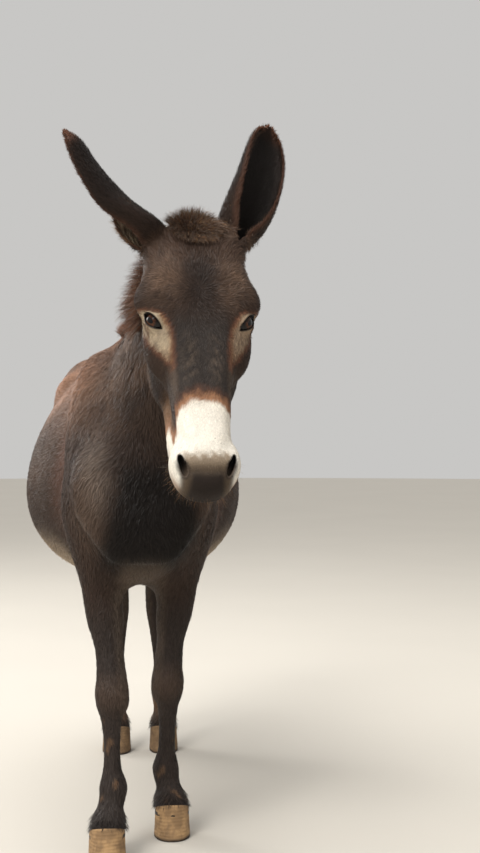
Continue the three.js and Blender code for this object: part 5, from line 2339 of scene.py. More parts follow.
class Groomer:
    """Finds roots on the scalp and turns paths of hair into thin blades."""

    def __init__(self, scalp: Scalp, placement: Placement, seed: int = 7) -> None:
        """Keeps the scalp and seeds the random numbers.

        Args:
            scalp: The skin that hair grows from.
            placement: The way from the working frame to the shared one.
            seed: Seed of the random numbers.
        """
        self.scalp, self.placement = scalp, placement
        self.rng = np.random.default_rng(seed)
        self.spots = np.zeros((len(scalp.points), 2))
        self.spots[scalp.triangles.ravel()] = scalp.places.reshape(-1, 2)

    def scatter(self, weight: Array, count: int) -> Roots:
        """Random roots on the scalp.

        Args:
            weight: How likely each triangle is for its area.
            count: The number of roots.

        Returns:
            The roots.
        """
        s = self.scalp
        chance = weight * s.areas()
        picked = self.rng.choice(len(chance), size=count, p=chance / chance.sum())
        share = self.rng.dirichlet((1.0, 1.0, 1.0), count)

        def mix(rows: Array) -> Array:
            """Each picked triangle's three rows, blended by its shares."""
            return (rows * share[:, :, None]).sum(axis=1)

        corners = s.triangles[picked]
        return Roots(
            mix(s.points[corners]),
            unit(mix(s.normals[corners])),
            unit(mix(s.flow[corners])),
            mix(s.colours[corners]),
            mix(s.places[picked]),
        )

    def nearest(self, points: Array) -> Array:
        """The scalp's point that is nearest to each point, by number.

        Args:
            points: Places, one row each.

        Returns:
            The numbers.
        """
        low, high = points.min(axis=0) - 10, points.max(axis=0) + 10
        near = np.nonzero(((self.scalp.points > low) & (self.scalp.points < high)).all(axis=1))[0]
        tree = KDTree(len(near))
        for number in near:
            tree.insert(Vector(self.scalp.points[number]), int(number))
        tree.balance()
        return np.array([tree.find(Vector(point))[1] for point in points])

    def rooted(self, points: Array, tint: Array) -> Roots:
        """Roots of one colour at given points.

        Args:
            points: Places, one row each.
            tint: Their colour.

        Returns:
            The roots.
        """
        numbers = self.nearest(points)
        colours = np.tile([*tint, 1.0], (len(points), 1))
        return Roots(points, self.scalp.normals[numbers], self.scalp.flow[numbers], colours, self.spots[numbers])

    def paths(self, roots: Roots, start: Array, bend: Array, length: Array, steps: int, curl: float) -> Array:
        """Curved paths that start in one direction and bend towards another.

        Args:
            roots: The hairs' roots.
            start: Direction in which each hair starts.
            bend: What the direction is bent by, over the whole length.
            length: Length of each hair, in millimetres.
            steps: Number of pieces in a path.
            curl: How far a hair wavers, in millimetres.

        Returns:
            Points of every path, as an array of hairs, steps and three numbers.
        """
        t = np.linspace(0, 1, steps + 1)[None, :, None]
        way = unit(start)[:, None] * t + bend[:, None] * t**2 / 2
        stretch = np.linalg.norm(np.diff(way, axis=1), axis=2).sum(axis=1)[:, None, None]
        path = roots.points[:, None] + way / stretch * length[:, None, None]
        phase = self.rng.uniform(0, 2 * np.pi, (len(roots), 1, 3))
        rate = self.rng.uniform(0.6, 1.5, (len(roots), 1, 3))
        return path + curl * (np.sin(phase + 2 * np.pi * rate * t) - np.sin(phase)) * t

    def gathered(self, paths: Array, locks: int, pull: float) -> Array:
        """Paths drawn together into locks towards their tips.

        Args:
            paths: The paths of the hairs.
            locks: How many locks there are.
            pull: How far a tip moves to the tip of its lock's leading hair, from 0 to 1.

        Returns:
            The new paths.
        """
        leaders = self.rng.choice(len(paths), size=min(locks, len(paths)), replace=False)
        tree = KDTree(len(leaders))
        for number in leaders:
            tree.insert(Vector(paths[number, 0]), int(number))
        tree.balance()
        mine = np.array([tree.find(Vector(root))[1] for root in paths[:, 0]])
        t = np.linspace(0, 1, paths.shape[1])[None, :, None]
        return paths + (paths[mine] - paths) * pull * t**0.8

    def blades(self, name: str, paths: Array, roots: Roots, width: float, finish: bpy.types.Material) -> Object:
        """Makes one mesh of thin tapered blades along paths.

        Args:
            name: Name of the piece.
            paths: Points of the paths.
            roots: The roots, for colour and for the map.
            width: Width of a blade at its root, in millimetres.
            finish: The hair's material.

        Returns:
            The piece's object.
        """
        count, rows = paths.shape[:2]
        t = np.linspace(0, 1, rows)
        ahead = unit(np.gradient(paths, axis=1))
        aside = unit(np.cross(ahead, self.rng.normal(size=(count, 1, 3))))
        half = width / 2 * np.maximum(1 - t**1.6, 0.02)[None, :, None] * self.rng.uniform(0.6, 1.2, (count, 1, 1))
        pairs = np.stack([paths - aside * half, paths + aside * half], axis=2)
        points = pairs.reshape(-1, 3)
        first = (np.arange(count)[:, None] * rows + np.arange(rows - 1)[None]) * 2
        quads = np.stack([first, first + 1, first + 3, first + 2], axis=-1).reshape(-1, 4)
        faces = np.concatenate([quads[:, [0, 1, 2]], quads[:, [0, 2, 3]]])
        mesh = mesh_from(name, self.placement.shared(points), faces)
        self.placement.hold_in(mesh)
        set_attribute(mesh, "coat", np.repeat(roots.colours, rows * 2, axis=0))
        tip = np.tile(np.repeat(t, 2), count)
        aside_share = np.tile([-0.5, 0.5], count * rows)
        set_attribute(mesh, "tuft", np.stack([aside_share, tip - 0.5, tip], axis=1))
        set_attribute(mesh, "shade", np.repeat(self.rng.uniform(0, 1, count), rows * 2))
        spots = np.repeat(roots.places, rows * 2, axis=0)
        spots = spots + CoatGraph.PATCH * np.stack([aside_share, tip - 0.5], axis=1)
        mesh.uv_layers.new(name="OFBake").uv.foreach_set("vector", spots[faces.ravel()].astype(np.float32).ravel())
        mesh.materials.append(finish)
        LOG.info("%s: %d triangles", name, len(faces))
        return object_from(mesh)


@dataclass(frozen=True)
class Fringe:
    """One stretch of hair on an ear, between turns and shares of its length."""

    ear: int
    turns: tuple[float, float]
    shares: tuple[float, float]
    lengths: tuple[float, float]
    inwards: float
    tints: tuple[str, ...]
    count: int


FRINGES = (
    Fringe(1, (-1.0, -0.5), (0.06, 0.9), (8, 16), 0.8, ("brown", "base", "ear"), 2600),
    Fringe(1, (0.8, 1.0), (0.1, 0.98), (5, 9), 0.2, ("brown", "base", "ear"), 1400),
    Fringe(1, (-1.0, -0.8), (0.3, 0.98), (5, 10), 0.2, ("brown", "ear", "base"), 900),
    Fringe(1, (-1.0, -0.5), (0.08, 0.24), (16, 26), 0.6, ("tan", "cream", "hazel"), 700),
    Fringe(-1, (0.75, 1.0), (0.1, 0.98), (6, 11), 0.2, ("rust", "base", "hazel"), 1400),
    Fringe(-1, (-1.0, -0.72), (0.02, 0.42), (16, 28), 0.2, ("grey", "tan", "hazel"), 1500),
    Fringe(-1, (-1.0, -0.5), (0.02, 0.36), (18, 30), 0.9, ("grey", "cream", "hazel"), 1300),
    Fringe(-1, (0.5, 1.0), (0.02, 0.4), (14, 26), 0.9, ("grey", "hazel", "tan"), 1300),
    Fringe(-1, (-1.0, -0.8), (0.4, 0.98), (6, 11), 0.2, ("rust", "base", "hazel"), 1400),
)


class LongHair:
    """Mane, forelock, tail, ear fringes, whiskers and lashes."""

    def __init__(self, anatomy: Anatomy, skin: SkinField, groomer: Groomer, finish: bpy.types.Material) -> None:
        """Keeps what the hair is grown from.

        Args:
            anatomy: The animal's forms.
            skin: The skin's field.
            groomer: What places and cuts the hairs.
            finish: The hair's material.
        """
        self.anatomy, self.skin, self.groomer, self.finish = anatomy, skin, groomer, finish
        self.rng = groomer.rng
        self.middles = groomer.scalp.middles()
        self.paint = {name: colour(code) for name, code in vars(Palette()).items()}

    def _within(self, shape: Field, reach: float) -> Array:
        """1 for each of the scalp's triangles that lies within reach of a shape."""
        return (shape(self.middles) < reach).astype(float)

    def _tinted(self, roots: Roots, names: Sequence[str], chances: Sequence[float], share: float) -> None:
        """Mixes chosen colours into the roots' own, at random.

        Args:
            roots: The roots, whose colours change.
            names: Names from the palette.
            chances: How often each is chosen.
            share: How far it takes the place of the roots' own colours.
        """
        picks = self.rng.choice(len(names), size=len(roots), p=chances)
        tints = np.array([self.paint[name] for name in names])[picks]
        roots.colours[:, :3] += (tints - roots.colours[:, :3]) * share

    def mane(self, count: int = 7800) -> Object:
        """The short mane, which stands on the crest.

        Args:
            count: How many hairs grow.

        Returns:
            The piece.
        """
        a = self.anatomy
        weight = self._within(a.mane, -2) * (self.groomer.scalp.ear[self.groomer.scalp.triangles].mean(axis=1) < 0.5)
        roots = self.groomer.scatter(weight, count)
        side = a.neck_axes.local(roots.points)[:, 0]
        spread = self.rng.normal(0, 0.13, (count, 3))
        start = a.neck_axes.up + spread - 0.2 * a.neck_axes.along
        start = start + np.outer(0.018 * (side + 6), a.neck_axes.side)
        bend = self.rng.normal(0, 0.2, (count, 3)) + np.array([-0.12, 0, -0.25])
        ends = smooth_step(roots.points[:, 1], 60, 170)
        length = self.rng.uniform(34, 50, count) * (1 - 0.55 * ends)
        paths = self.groomer.gathered(self.groomer.paths(roots, start, bend, length, 4, 1.5), 520, 0.4)
        self._tinted(roots, ("base", "rust", "ear"), (0.4, 0.35, 0.25), 0.75)
        return self.groomer.blades("mane_hair", paths, roots, 1.5, self.finish)

    def mane_fall(self, count: int = 3600) -> Object:
        """The softer hair behind the right ear, which falls down the neck.

        Args:
            count: How many hairs grow.

        Returns:
            The piece.
        """
        a = self.anatomy
        roots = self.groomer.scatter(self._within(a.mane_fall, 2), count)
        outwards = unit(roots.points - a.mane_fall.axes.at(30, -20, 0))
        start = 0.75 * roots.normals + 0.5 * outwards + self.rng.normal(0, 0.22, (count, 3))
        high = smooth_step(roots.points[:, 2], 1050, 1130)
        bend = np.outer(1.35 - 0.6 * high, (-0.12, 0.05, -1.0)) + self.rng.normal(0, 0.25, (count, 3))
        length = self.rng.uniform(24, 44, count) * (1 + 0.55 * high)
        paths = self.groomer.gathered(self.groomer.paths(roots, start, bend, length, 5, 3.0), 420, 0.2)
        self._tinted(roots, ("rust", "brown", "base", "hazel"), (0.3, 0.3, 0.2, 0.2), 0.9)
        return self.groomer.blades("mane_fall_hair", paths, roots, 1.2, self.finish)

    def forelock(self, count: int = 4300) -> Object:
        """The tousled tuft between the ears and the cowlick below it.

        Args:
            count: How many hairs grow.

        Returns:
            The piece.
        """
        a = self.anatomy
        roots = self.groomer.scatter(self._within(a.forelock, 1), count)
        head = a.head_axes
        outwards = unit(roots.points - head.at(0, -34, 4))
        swirl = np.stack([waves(roots.points, 110, seed) for seed in (61, 62, 63)], axis=1)
        start = 0.8 * outwards + 0.5 * head.up + 0.25 * swirl + self.rng.normal(0, 0.11, (count, 3))
        along = head.local(roots.points)[:, 2]
        forward = smooth_step(along, -30, 20)[:, None]
        bend = (0.35 + forward) * head.along + 0.3 * swirl + self.rng.normal(0, 0.16, (count, 3))
        bend = bend + np.array([0.2, 0, -0.3])
        length = self.rng.uniform(22, 42, count) * (1 - 0.3 * forward[:, 0])
        paths = self.groomer.gathered(self.groomer.paths(roots, start, bend, length, 5, 2.5), 420, 0.2)
        # painted highlight: some forelock hairs take the sheen colour
        self._tinted(roots, ("hazel", "tan", "sheen", "brown"), (0.4, 0.1, 0.3, 0.2), 1.0)
        return self.groomer.blades("forelock_hair", paths, roots, 1.1, self.finish)

    def tail(self, count: int = 2600) -> Object:
        """The long hair of the tail's end.

        Args:
            count: How many hairs grow.

        Returns:
            The piece.
        """
        a, steps = self.anatomy, 8
        low = smooth_step(-self.middles[:, 2], -780, -600) * (self.middles[:, 1] > 1040)
        roots = self.groomer.scatter(low, count)
        z = roots.points[:, 2]
        end = self.rng.uniform(338, 470, count)
        end = np.minimum(end, z - 40)
        share = np.linspace(0, 1, steps)[None]
        heights = z[:, None] + (end - z)[:, None] * share
        rows = a.tail.section(heights.ravel()).reshape(count, steps, -1)
        middle = a.tail_axes.origin + rows[..., 1:2] * a.tail_axes.side + rows[..., 2:3] * a.tail_axes.up
        middle[..., 2] = heights
        angle = self.rng.uniform(0, 2 * np.pi, count)[:, None]
        reach = self.rng.uniform(0.15, 0.95, count)[:, None] * (rows[..., 3] - 1)
        ring = middle + (np.cos(angle) * reach)[..., None] * X_AXIS + (np.sin(angle) * reach)[..., None] * Y_AXIS
        hold = smooth_step(share, 0.0, 0.45)[..., None]
        straight = np.concatenate([np.tile(roots.points[:, None, :2], (1, steps, 1)), heights[..., None]], axis=2)
        paths = straight + (ring - straight) * hold
        paths = self.groomer.gathered(paths, 130, 0.35)
        self._tinted(roots, ("base", "black", "rust"), (0.45, 0.3, 0.25), 0.85)
        return self.groomer.blades("tail_hair", paths, roots, 2.2, self.finish)

    def ear_fringes(self) -> list[Object]:
        """Longer hair along the rims of both ears, inside them and at their bases.

        Returns:
            The pieces.
        """
        made = []
        for name, s in SIDES.items():
            grown = [self._fringe(fringe) for fringe in FRINGES if fringe.ear == s]
            paths = np.concatenate([paths for paths, _ in grown])
            roots = Roots.joined([roots for _, roots in grown])
            made.append(self.groomer.blades(f"ear_fringe_{name}", paths, roots, 0.9, self.finish))
        return made

    def _fringe(self, fringe: Fringe) -> tuple[Array, Roots]:
        """Paths and roots of one stretch of hair on an ear.

        Args:
            fringe: Where and how it grows.

        Returns:
            The paths and their roots.
        """
        ear, count = self.anatomy.ears[fringe.ear], fringe.count
        turn = self.rng.uniform(*fringe.turns, count)
        share = self.rng.uniform(*fringe.shares, count)
        wall = np.full(count, Ear.SKIN / 2)
        points = ear.place(share, turn, wall)
        roots = self.groomer.rooted(points, self.paint["base"])
        across = unit(ear.place(share, turn * 0.6, wall + 6) - points)
        outwards = -unit(ear.place(share, turn, wall + 4) - points)
        lean = fringe.inwards * across + (1 - fringe.inwards) * outwards
        start = 0.5 * lean + 0.85 * ear.axes.along + self.rng.normal(0, 0.14, (count, 3))
        bend = 0.5 * lean + self.rng.normal(0, 0.22, (count, 3))
        length = self.rng.uniform(*fringe.lengths, count)
        paths = self.groomer.gathered(self.groomer.paths(roots, start, bend, length, 4, 1.0), count // 8, 0.2)
        self._tinted(roots, fringe.tints, np.full(len(fringe.tints), 1 / len(fringe.tints)), 1.0)
        return paths, roots

    def whiskers(self, count: int = 260) -> Object:
        """Fine hairs that stand out from the lips and the chin.

        Args:
            count: How many hairs grow.

        Returns:
            The piece.
        """
        _, up, along = self.anatomy.head_axes.local(self.middles).T
        lips = (along > 405) & (up < -74) & (self.middles[:, 1] < MUZZLE_Y) & (self.middles[:, 2] < 900)
        roots = self.groomer.scatter(lips.astype(float), count)
        start = roots.normals + np.array([0, 0, -0.35]) + self.rng.normal(0, 0.25, (count, 3))
        bend = np.array([0, 0, -0.35]) + self.rng.normal(0, 0.2, (count, 3))
        length = self.rng.uniform(8, 24, count)
        self._tinted(roots, ("tan", "grey"), (0.6, 0.4), 0.9)
        paths = self.groomer.paths(roots, start, bend, length, 5, 0.8)
        return self.groomer.blades("whiskers", paths, roots, 0.32, self.finish)

    def lashes(self, count: int = 70) -> list[Object]:
        """Upper lashes, which stand out and hang a little over each eye.

        Args:
            count: How many lashes each eye has.

        Returns:
            One piece for each eye.
        """
        made = []
        for name, s in SIDES.items():
            seat = self.skin.eyes[s]
            o = seat.opening
            a = self.rng.uniform(-16, 15, count)
            b = o.upper * (1 - np.clip(np.abs(a + 2) / o.half_length, 0, 1) ** 2) ** 0.75 + 0.6
            c = np.sqrt(np.maximum((o.lid_radius - 0.6) ** 2 - a**2 - b**2, 1))
            points = seat.axes.origin + seat.axes.turned(np.stack([s * a, b, c], axis=1))
            roots = self.groomer.rooted(points, self.paint["lining"])
            start = seat.axes.turned(np.stack([s * (0.25 + 0.02 * a), np.full(count, 0.1), np.ones(count)], axis=1))
            start = start + self.rng.normal(0, 0.08, (count, 3))
            bend = -0.75 * seat.axes.up + self.rng.normal(0, 0.1, (count, 3))
            paths = self.groomer.paths(roots, start, bend, self.rng.uniform(9, 15, count), 5, 0.3)
            made.append(self.groomer.blades(f"lashes_{name}", paths, roots, 0.7, self.finish))
        return made


# --------------------------------------------------------------------- finishes
class Slot(Enum):
    """The record's material slots."""

    COAT = "coat"
    MANE = "mane"
    EYE = "eye"
    HOOF = "hoof"


class Finish:
    """One procedural material, built from its own nodes."""

    def __init__(self, name: str, roughness: float, specular: float = 0.5) -> None:
        """Makes an empty material with its shader.

        Args:
            name: The material's name.
            roughness: Roughness where nothing else drives it.
            specular: Specular level of the whole surface.
        """
        self.material = bpy.data.materials.new(name)
        self.material.use_nodes = True
        self.material.node_tree.nodes.clear()
        self.graph = Graph(self.material.node_tree)
        self.shader = self.graph.node("ShaderNodeBsdfPrincipled")
        self.shader.inputs["Roughness"].default_value = roughness
        self.shader.inputs["Specular IOR Level"].default_value = specular
        self.graph.node("ShaderNodeOutputMaterial", Surface=self.shader.outputs[0])

    def attribute(self, name: str, output: str = "Color") -> Socket:
        """A named attribute's colour, vector or factor."""
        return self.graph.node("ShaderNodeAttribute", {"attribute_name": name}).outputs[output]

    def math(self, operation: str, a: object, b: object = 0.0, c: object = 0.0) -> Socket:
        """The result of one sum.

        Args:
            operation: The sum's name.
            a: The first value.
            b: The second value.
            c: The third value, for MULTIPLY_ADD.

        Returns:
            The result.
        """
        node = self.graph.node("ShaderNodeMath", {"operation": operation}, i0=a, i1=b)
        if operation == "MULTIPLY_ADD":
            self.graph.feed(c, node.inputs[2])
        return node.outputs[0]

    def times(self, a: object, b: object) -> Socket:
        """The product of two values."""
        return self.math("MULTIPLY", a, b)

    def tint(self, value: object) -> None:
        """Gives the surface its colour."""
        self.graph.feed(value, self.shader.inputs["Base Color"])

    def ramp(self, value: object, low: float, high: float) -> Socket:
        """0 below low, 1 above high, and a smooth ramp between; low may be above high.

        Args:
            value: What drives the ramp.
            low: Where it is 0.
            high: Where it is 1.

        Returns:
            The result.
        """
        settings = {"interpolation_type": "SMOOTHSTEP"}
        node = self.graph.node("ShaderNodeMapRange", settings, Value=value)
        start, end, first, last = (low, high, 0.0, 1.0) if low < high else (high, low, 1.0, 0.0)
        for name, number in (("From Min", start), ("From Max", end), ("To Min", first), ("To Max", last)):
            node.inputs[name].default_value = number
        return node.outputs[0]

    def noise(self, scale: float, detail: float, stretch: tuple[float, float, float] = (1, 1, 1)) -> Socket:
        """Noise over the object, from 0 to 1.

        Args:
            scale: How fine the noise is.
            detail: How many finer layers it has.
            stretch: Scale along each axis; below 1 draws the noise out.

        Returns:
            The noise.
        """
        place = self.graph.node("ShaderNodeTexCoord").outputs["Object"]
        spread = self.graph.node("ShaderNodeMapping", Vector=place)
        spread.inputs["Scale"].default_value = stretch
        return self.graph.node("ShaderNodeTexNoise", Vector=spread, Scale=scale, Detail=detail).outputs[0]

    def mix(self, share: object, under: object, over: object) -> Socket:
        """One colour laid over another by a share.

        Args:
            share: How much of the second colour shows.
            under: The first colour.
            over: The second colour.

        Returns:
            The mixed colour.
        """
        node = self.graph.node("ShaderNodeMix", {"data_type": "RGBA"})
        self.graph.feed(share, node.inputs[0])
        for value, socket in ((under, node.inputs[6]), (over, node.inputs[7])):
            if isinstance(value, np.ndarray):
                value = (*value, 1.0)
            self.graph.feed(value, socket)
        return node.outputs[2]

    def scaled(self, tint: object, by: object) -> Socket:
        """A colour made brighter or darker.

        Args:
            tint: The colour.
            by: What it is multiplied by.

        Returns:
            The new colour.
        """
        node = self.graph.node("ShaderNodeVectorMath", {"operation": "SCALE"}, i0=tint)
        self.graph.feed(by, node.inputs["Scale"])
        return node.outputs[0]

    def bump(self, height: object, strength: float, distance: float) -> None:
        """Raises and lowers the surface by a height."""
        node = self.graph.node("ShaderNodeBump", Height=height, Strength=strength, Distance=distance)
        self.graph.feed(node, self.shader.inputs["Normal"])

    def speckled(self, tint: object) -> Socket:
        """Small dark spots on the white of the muzzle.

        Args:
            tint: The colour under the spots.

        Returns:
            The colour with its spots.
        """
        place = self.graph.node("ShaderNodeTexCoord").outputs["Object"]
        cells = self.graph.node("ShaderNodeTexVoronoi", Vector=place, Scale=150.0)
        spot = self.ramp(cells.outputs["Distance"], 0.24, 0.12)
        some = self.ramp(self.noise(24.0, 1.0), 0.56, 0.68)
        share = self.times(self.times(spot, some), self.attribute("speckle", "Fac"))
        return self.mix(share, tint, colour("6a5f58"))


class HairFinish(Finish):
    """Hair: darker at its root as painted shade deep in the coat, with a random tone of its own for each tuft."""

    def __init__(self, name: str, roughness: float, root: float, tip: float) -> None:
        """Builds the finish.

        Args:
            name: The material's name.
            roughness: Its roughness.
            root: Brightness at the root, for a coat colour of one.
            tip: Brightness added towards the tip.
        """
        super().__init__(name, roughness, 0.16)
        split = self.graph.node("ShaderNodeSeparateXYZ", Vector=self.attribute("tuft", "Vector"))
        # painted shade: darker at the root, lighter towards the tip
        painted_root_shade = self.math("MULTIPLY_ADD", split.outputs[2], tip, root)
        own = self.math("MULTIPLY_ADD", self.attribute("shade", "Fac"), 0.56, 0.72)
        tint = self.scaled(self.attribute("coat"), self.times(painted_root_shade, own))
        self.tint(self.speckled(tint))
        self.shader.inputs["Sheen Weight"].default_value = 0.02
        self.shader.inputs["Sheen Roughness"].default_value = 0.5


class SkinFinish(Finish):
    """The skin: the coat's colours, with fine hair in its bump."""

    def __init__(self) -> None:
        """Builds the finish."""
        super().__init__("skin", 0.72, 0.18)
        patches = self.math("MULTIPLY_ADD", self.noise(60.0, 4.0), 0.4, 0.72)
        tint = self.scaled(self.attribute("coat"), patches)
        self.tint(self.speckled(tint))
        bare = self.attribute("bare", "Fac")
        self.graph.feed(self.math("MULTIPLY_ADD", bare, -0.34, 0.78), self.shader.inputs["Roughness"])
        fine = self.math("ADD", self.noise(900.0, 2.0), self.times(self.noise(260.0, 3.0), 1.4))
        self.bump(fine, 0.35, 0.0012)


class EyeFinish(Finish):
    """An eye: a level pupil in a brown iris under a wet surface."""

    def __init__(self) -> None:
        """Builds the finish."""
        super().__init__("eye", 0.16, 0.2)
        spot = self.graph.node("ShaderNodeSeparateXYZ", Vector=self.attribute("eye", "Vector"))
        a, b = spot.outputs[0], spot.outputs[1]
        from_axis = self.math("SQRT", self.math("ADD", self.times(a, a), self.times(b, b)))
        wide, high = self.times(a, 2.3), self.times(b, 4.6)
        pupil = self.math("ADD", self.times(wide, wide), self.times(high, high))
        angle = self.math("ARCTAN2", b, a)
        ray = self.graph.node("ShaderNodeCombineXYZ", X=self.times(angle, 5.0), Y=from_axis)
        streaks = self.graph.node("ShaderNodeTexNoise", Vector=ray, Scale=3.0, Detail=4.0).outputs[0]
        iris = self.mix(self.ramp(streaks, 0.35, 0.7), colour("20120a"), colour("5a3118"))
        iris = self.mix(self.ramp(from_axis, 0.5, 0.7), iris, colour("140b07"))
        ball = self.mix(self.ramp(from_axis, 0.66, 0.74), iris, colour("0f0b09"))
        tint = self.mix(self.ramp(pupil, 1.15, 0.85), ball, colour("050404"))
        self.tint(tint)
        self.shader.inputs["Coat Weight"].default_value = 0.2
        self.shader.inputs["Coat Roughness"].default_value = 0.03


class HoofFinish(Finish):
    """The hooves: dusty horn with growth rings and darker edges."""

    def __init__(self) -> None:
        """Builds the finish."""
        super().__init__("hoof", 0.8, 0.35)
        place = self.graph.node("ShaderNodeSeparateXYZ", Vector=self.graph.node("ShaderNodeTexCoord").outputs["Object"])
        height = place.outputs[2]
        patches = self.noise(45.0, 5.0)
        horn = self.mix(self.ramp(patches, 0.35, 0.65), colour("84694b"), colour("ab8a62"))
        streaks = self.noise(160.0, 2.0, (1, 1, 0.08))
        horn = self.mix(self.times(self.ramp(streaks, 0.5, 0.75), 0.22), horn, colour("5d4c3b"))
        wavy = self.math("MULTIPLY_ADD", self.noise(30.0, 1.0), 0.006, height)
        rings = self.math("SINE", self.times(wavy, 900.0))
        horn = self.mix(self.times(self.ramp(rings, 0.2, 1.0), 0.08), horn, colour("5d4d3e"))
        horn = self.mix(self.times(self.ramp(place.outputs[1], 0.2, 0.4), 0.55), horn, colour("4a3c30"))
        edge = self.math("MULTIPLY_ADD", patches, -0.012, height)
        horn = self.mix(self.ramp(edge, 0.004, -0.004), horn, colour("352c26"))
        self.tint(horn)
        self.bump(self.math("ADD", rings, self.times(patches, 2.0)), 0.4, 0.0006)


# ------------------------------------------------------------- eyes and hooves
@dataclass(frozen=True)
class Eyeball:
    """One eye: a ball with a slightly fuller front."""

    seat: EyeSeat
    placement: Placement
    segments: int = 56
    rings: int = 40
    radius: float = BUILD.eye_radius * 0.995

    def build(self, name: str, finish: Finish) -> Object:
        """Makes the eye.

        Args:
            name: The piece's name.
            finish: The eye's finish.

        Returns:
            The eye's object.
        """
        angle = np.linspace(0, np.pi, self.rings + 1)[1:-1]
        turn = np.arange(self.segments) / self.segments * 2 * np.pi
        ring, around = np.meshgrid(angle, turn, indexing="ij")
        local = np.stack([np.sin(ring) * np.cos(around), np.sin(ring) * np.sin(around), np.cos(ring)], axis=-1)
        local = np.concatenate([local.reshape(-1, 3), [[0, 0, 1], [0, 0, -1]]])
        full = 1 + 0.03 * smooth_step(local[:, 2], 0.72, 0.95)
        points = self.seat.axes.origin + self.seat.axes.turned(local * (full * self.radius)[:, None])
        faces = self._faces(len(local))
        shape = mesh_from(name, self.placement.shared(points), faces)
        local[:, 0] *= self.seat.s
        set_attribute(shape, "eye", local)
        shape.materials.append(finish.material)
        return object_from(shape)

    def _faces(self, count: int) -> Array:
        """Triangles between the rings and to both poles, wound outwards.

        Args:
            count: How many points there are, both poles included.

        Returns:
            Rows of three point numbers.
        """
        n, front, back = self.segments, count - 2, count - 1
        i = np.arange(n)
        after = (i + 1) % n
        last = (self.rings - 2) * n
        faces = [np.stack([np.full(n, front), i, after], 1), np.stack([np.full(n, back), last + after, last + i], 1)]
        for row in range(self.rings - 2):
            low, high = row * n, (row + 1) * n
            faces += [np.stack([low + i, high + i, high + after], 1), np.stack([low + i, high + after, low + after], 1)]
        whole = np.concatenate(faces)
        a = self.seat.axes
        left_handed = float(np.cross(a.side, a.up) @ a.along) < 0
        return whole[:, ::-1] if left_handed else whole


@dataclass(frozen=True)
class Hooves:
    """The four hooves: horn with growth rings, flat on the floor."""

    anatomy: Anatomy
    placement: Placement
    step: float = 3.2
    ring: float = 7.5  # from one growth ring to the next
    low: tuple[float, float, float] = (-50, -68, -6)  # the box that one hoof lies in
    high: tuple[float, float, float] = (50, 58, 92)

    def build(self, finish: Finish) -> list[Object]:
        """Makes the hooves, each named after its node and standing for it.

        Args:
            finish: The finish.

        Returns:
            The four hooves.
        """
        made = []
        for pair, name, x, y in self.anatomy.feet():
            hoof = self._hoof(f"hoof_{pair}_{name}", x, y, finish)
            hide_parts(f"{pair}_hoof_{name}")
            made.append(hoof)
        return made

    def _hoof(self, name: str, x: float, y: float, finish: Finish) -> Object:
        """Draws one hoof over its place on the floor.

        Args:
            name: The piece's name.
            x: Its place to the left.
            y: Its place to the back.
            finish: The finish.

        Returns:
            The hoof.
        """
        horn = Loft(self.anatomy.upright(x, y), HOOF_ROWS, (2.2, 2.2), (10, 10))
        slope = unit(np.array([0, 0.34, 1.0]))

        def shape(points: Array) -> Array:
            """The horn with its rings, cut along the coronet and at the floor.

            Args:
                points: Places, one row each.

            Returns:
                The values, negative inside.
            """
            top = (points - (x, y, BUILD.hoof_top - 0.5)) @ slope
            ring = np.sin((top + 1.5 * waves(points, 60, 31)) * 2 * np.pi / self.ring)
            wall = horn(points) + 0.5 + 0.28 * ring + 0.3 * waves(points, 22, 32)
            return smooth_max(smooth_max(wall, top, 3.0), 0.3 - points[:, 2], 1.5)

        low, high = ((x + a, y + b, c) for a, b, c in (self.low, self.high))
        points, faces = SurfaceNet(low, high, self.step, 1).draw(shape)
        points = onto_surface(shape, points, rounds=1, limit=1.0)
        points[:, 2] = np.maximum(points[:, 2], 0.0)
        mesh = mesh_from(name, self.placement.shared(points), faces)
        mesh.materials.append(finish.material)
        return object_from(mesh)


# ----------------------------------------------------------------------- studio
@dataclass(frozen=True)
class Lamp:
    """One soft lamp."""

    name: str
    place: tuple[float, float, float]
    aim: tuple[float, float, float]
    size: float
    power: float
    tint: tuple[float, float, float]


LAMPS = (
    Lamp("key", (-3.4, -4.6, 5.6), (0.0, -0.4, 0.8), 3.0, 260, (1.0, 0.97, 0.92)),
    Lamp("top", (-0.6, 0.8, 4.8), (0.0, 0.2, 0.8), 3.6, 150, (1.0, 0.98, 0.95)),
    Lamp("back", (-3.6, 3.6, 3.0), (0.0, 0.4, 0.9), 2.4, 110, (1.0, 0.98, 0.95)),
)


def hang(data: bpy.types.Light, place: Sequence[float], towards: Vector) -> None:
    """Puts a light in the scene at a place, shining in a direction.

    Args:
        data: The light.
        place: Where it is.
        towards: The direction in which it shines.
    """
    owner = bpy.data.objects.new(data.name, data)
    owner.location = place
    owner.rotation_euler = towards.to_track_quat("-Z", "Y").to_euler()
    bpy.context.scene.collection.objects.link(owner)


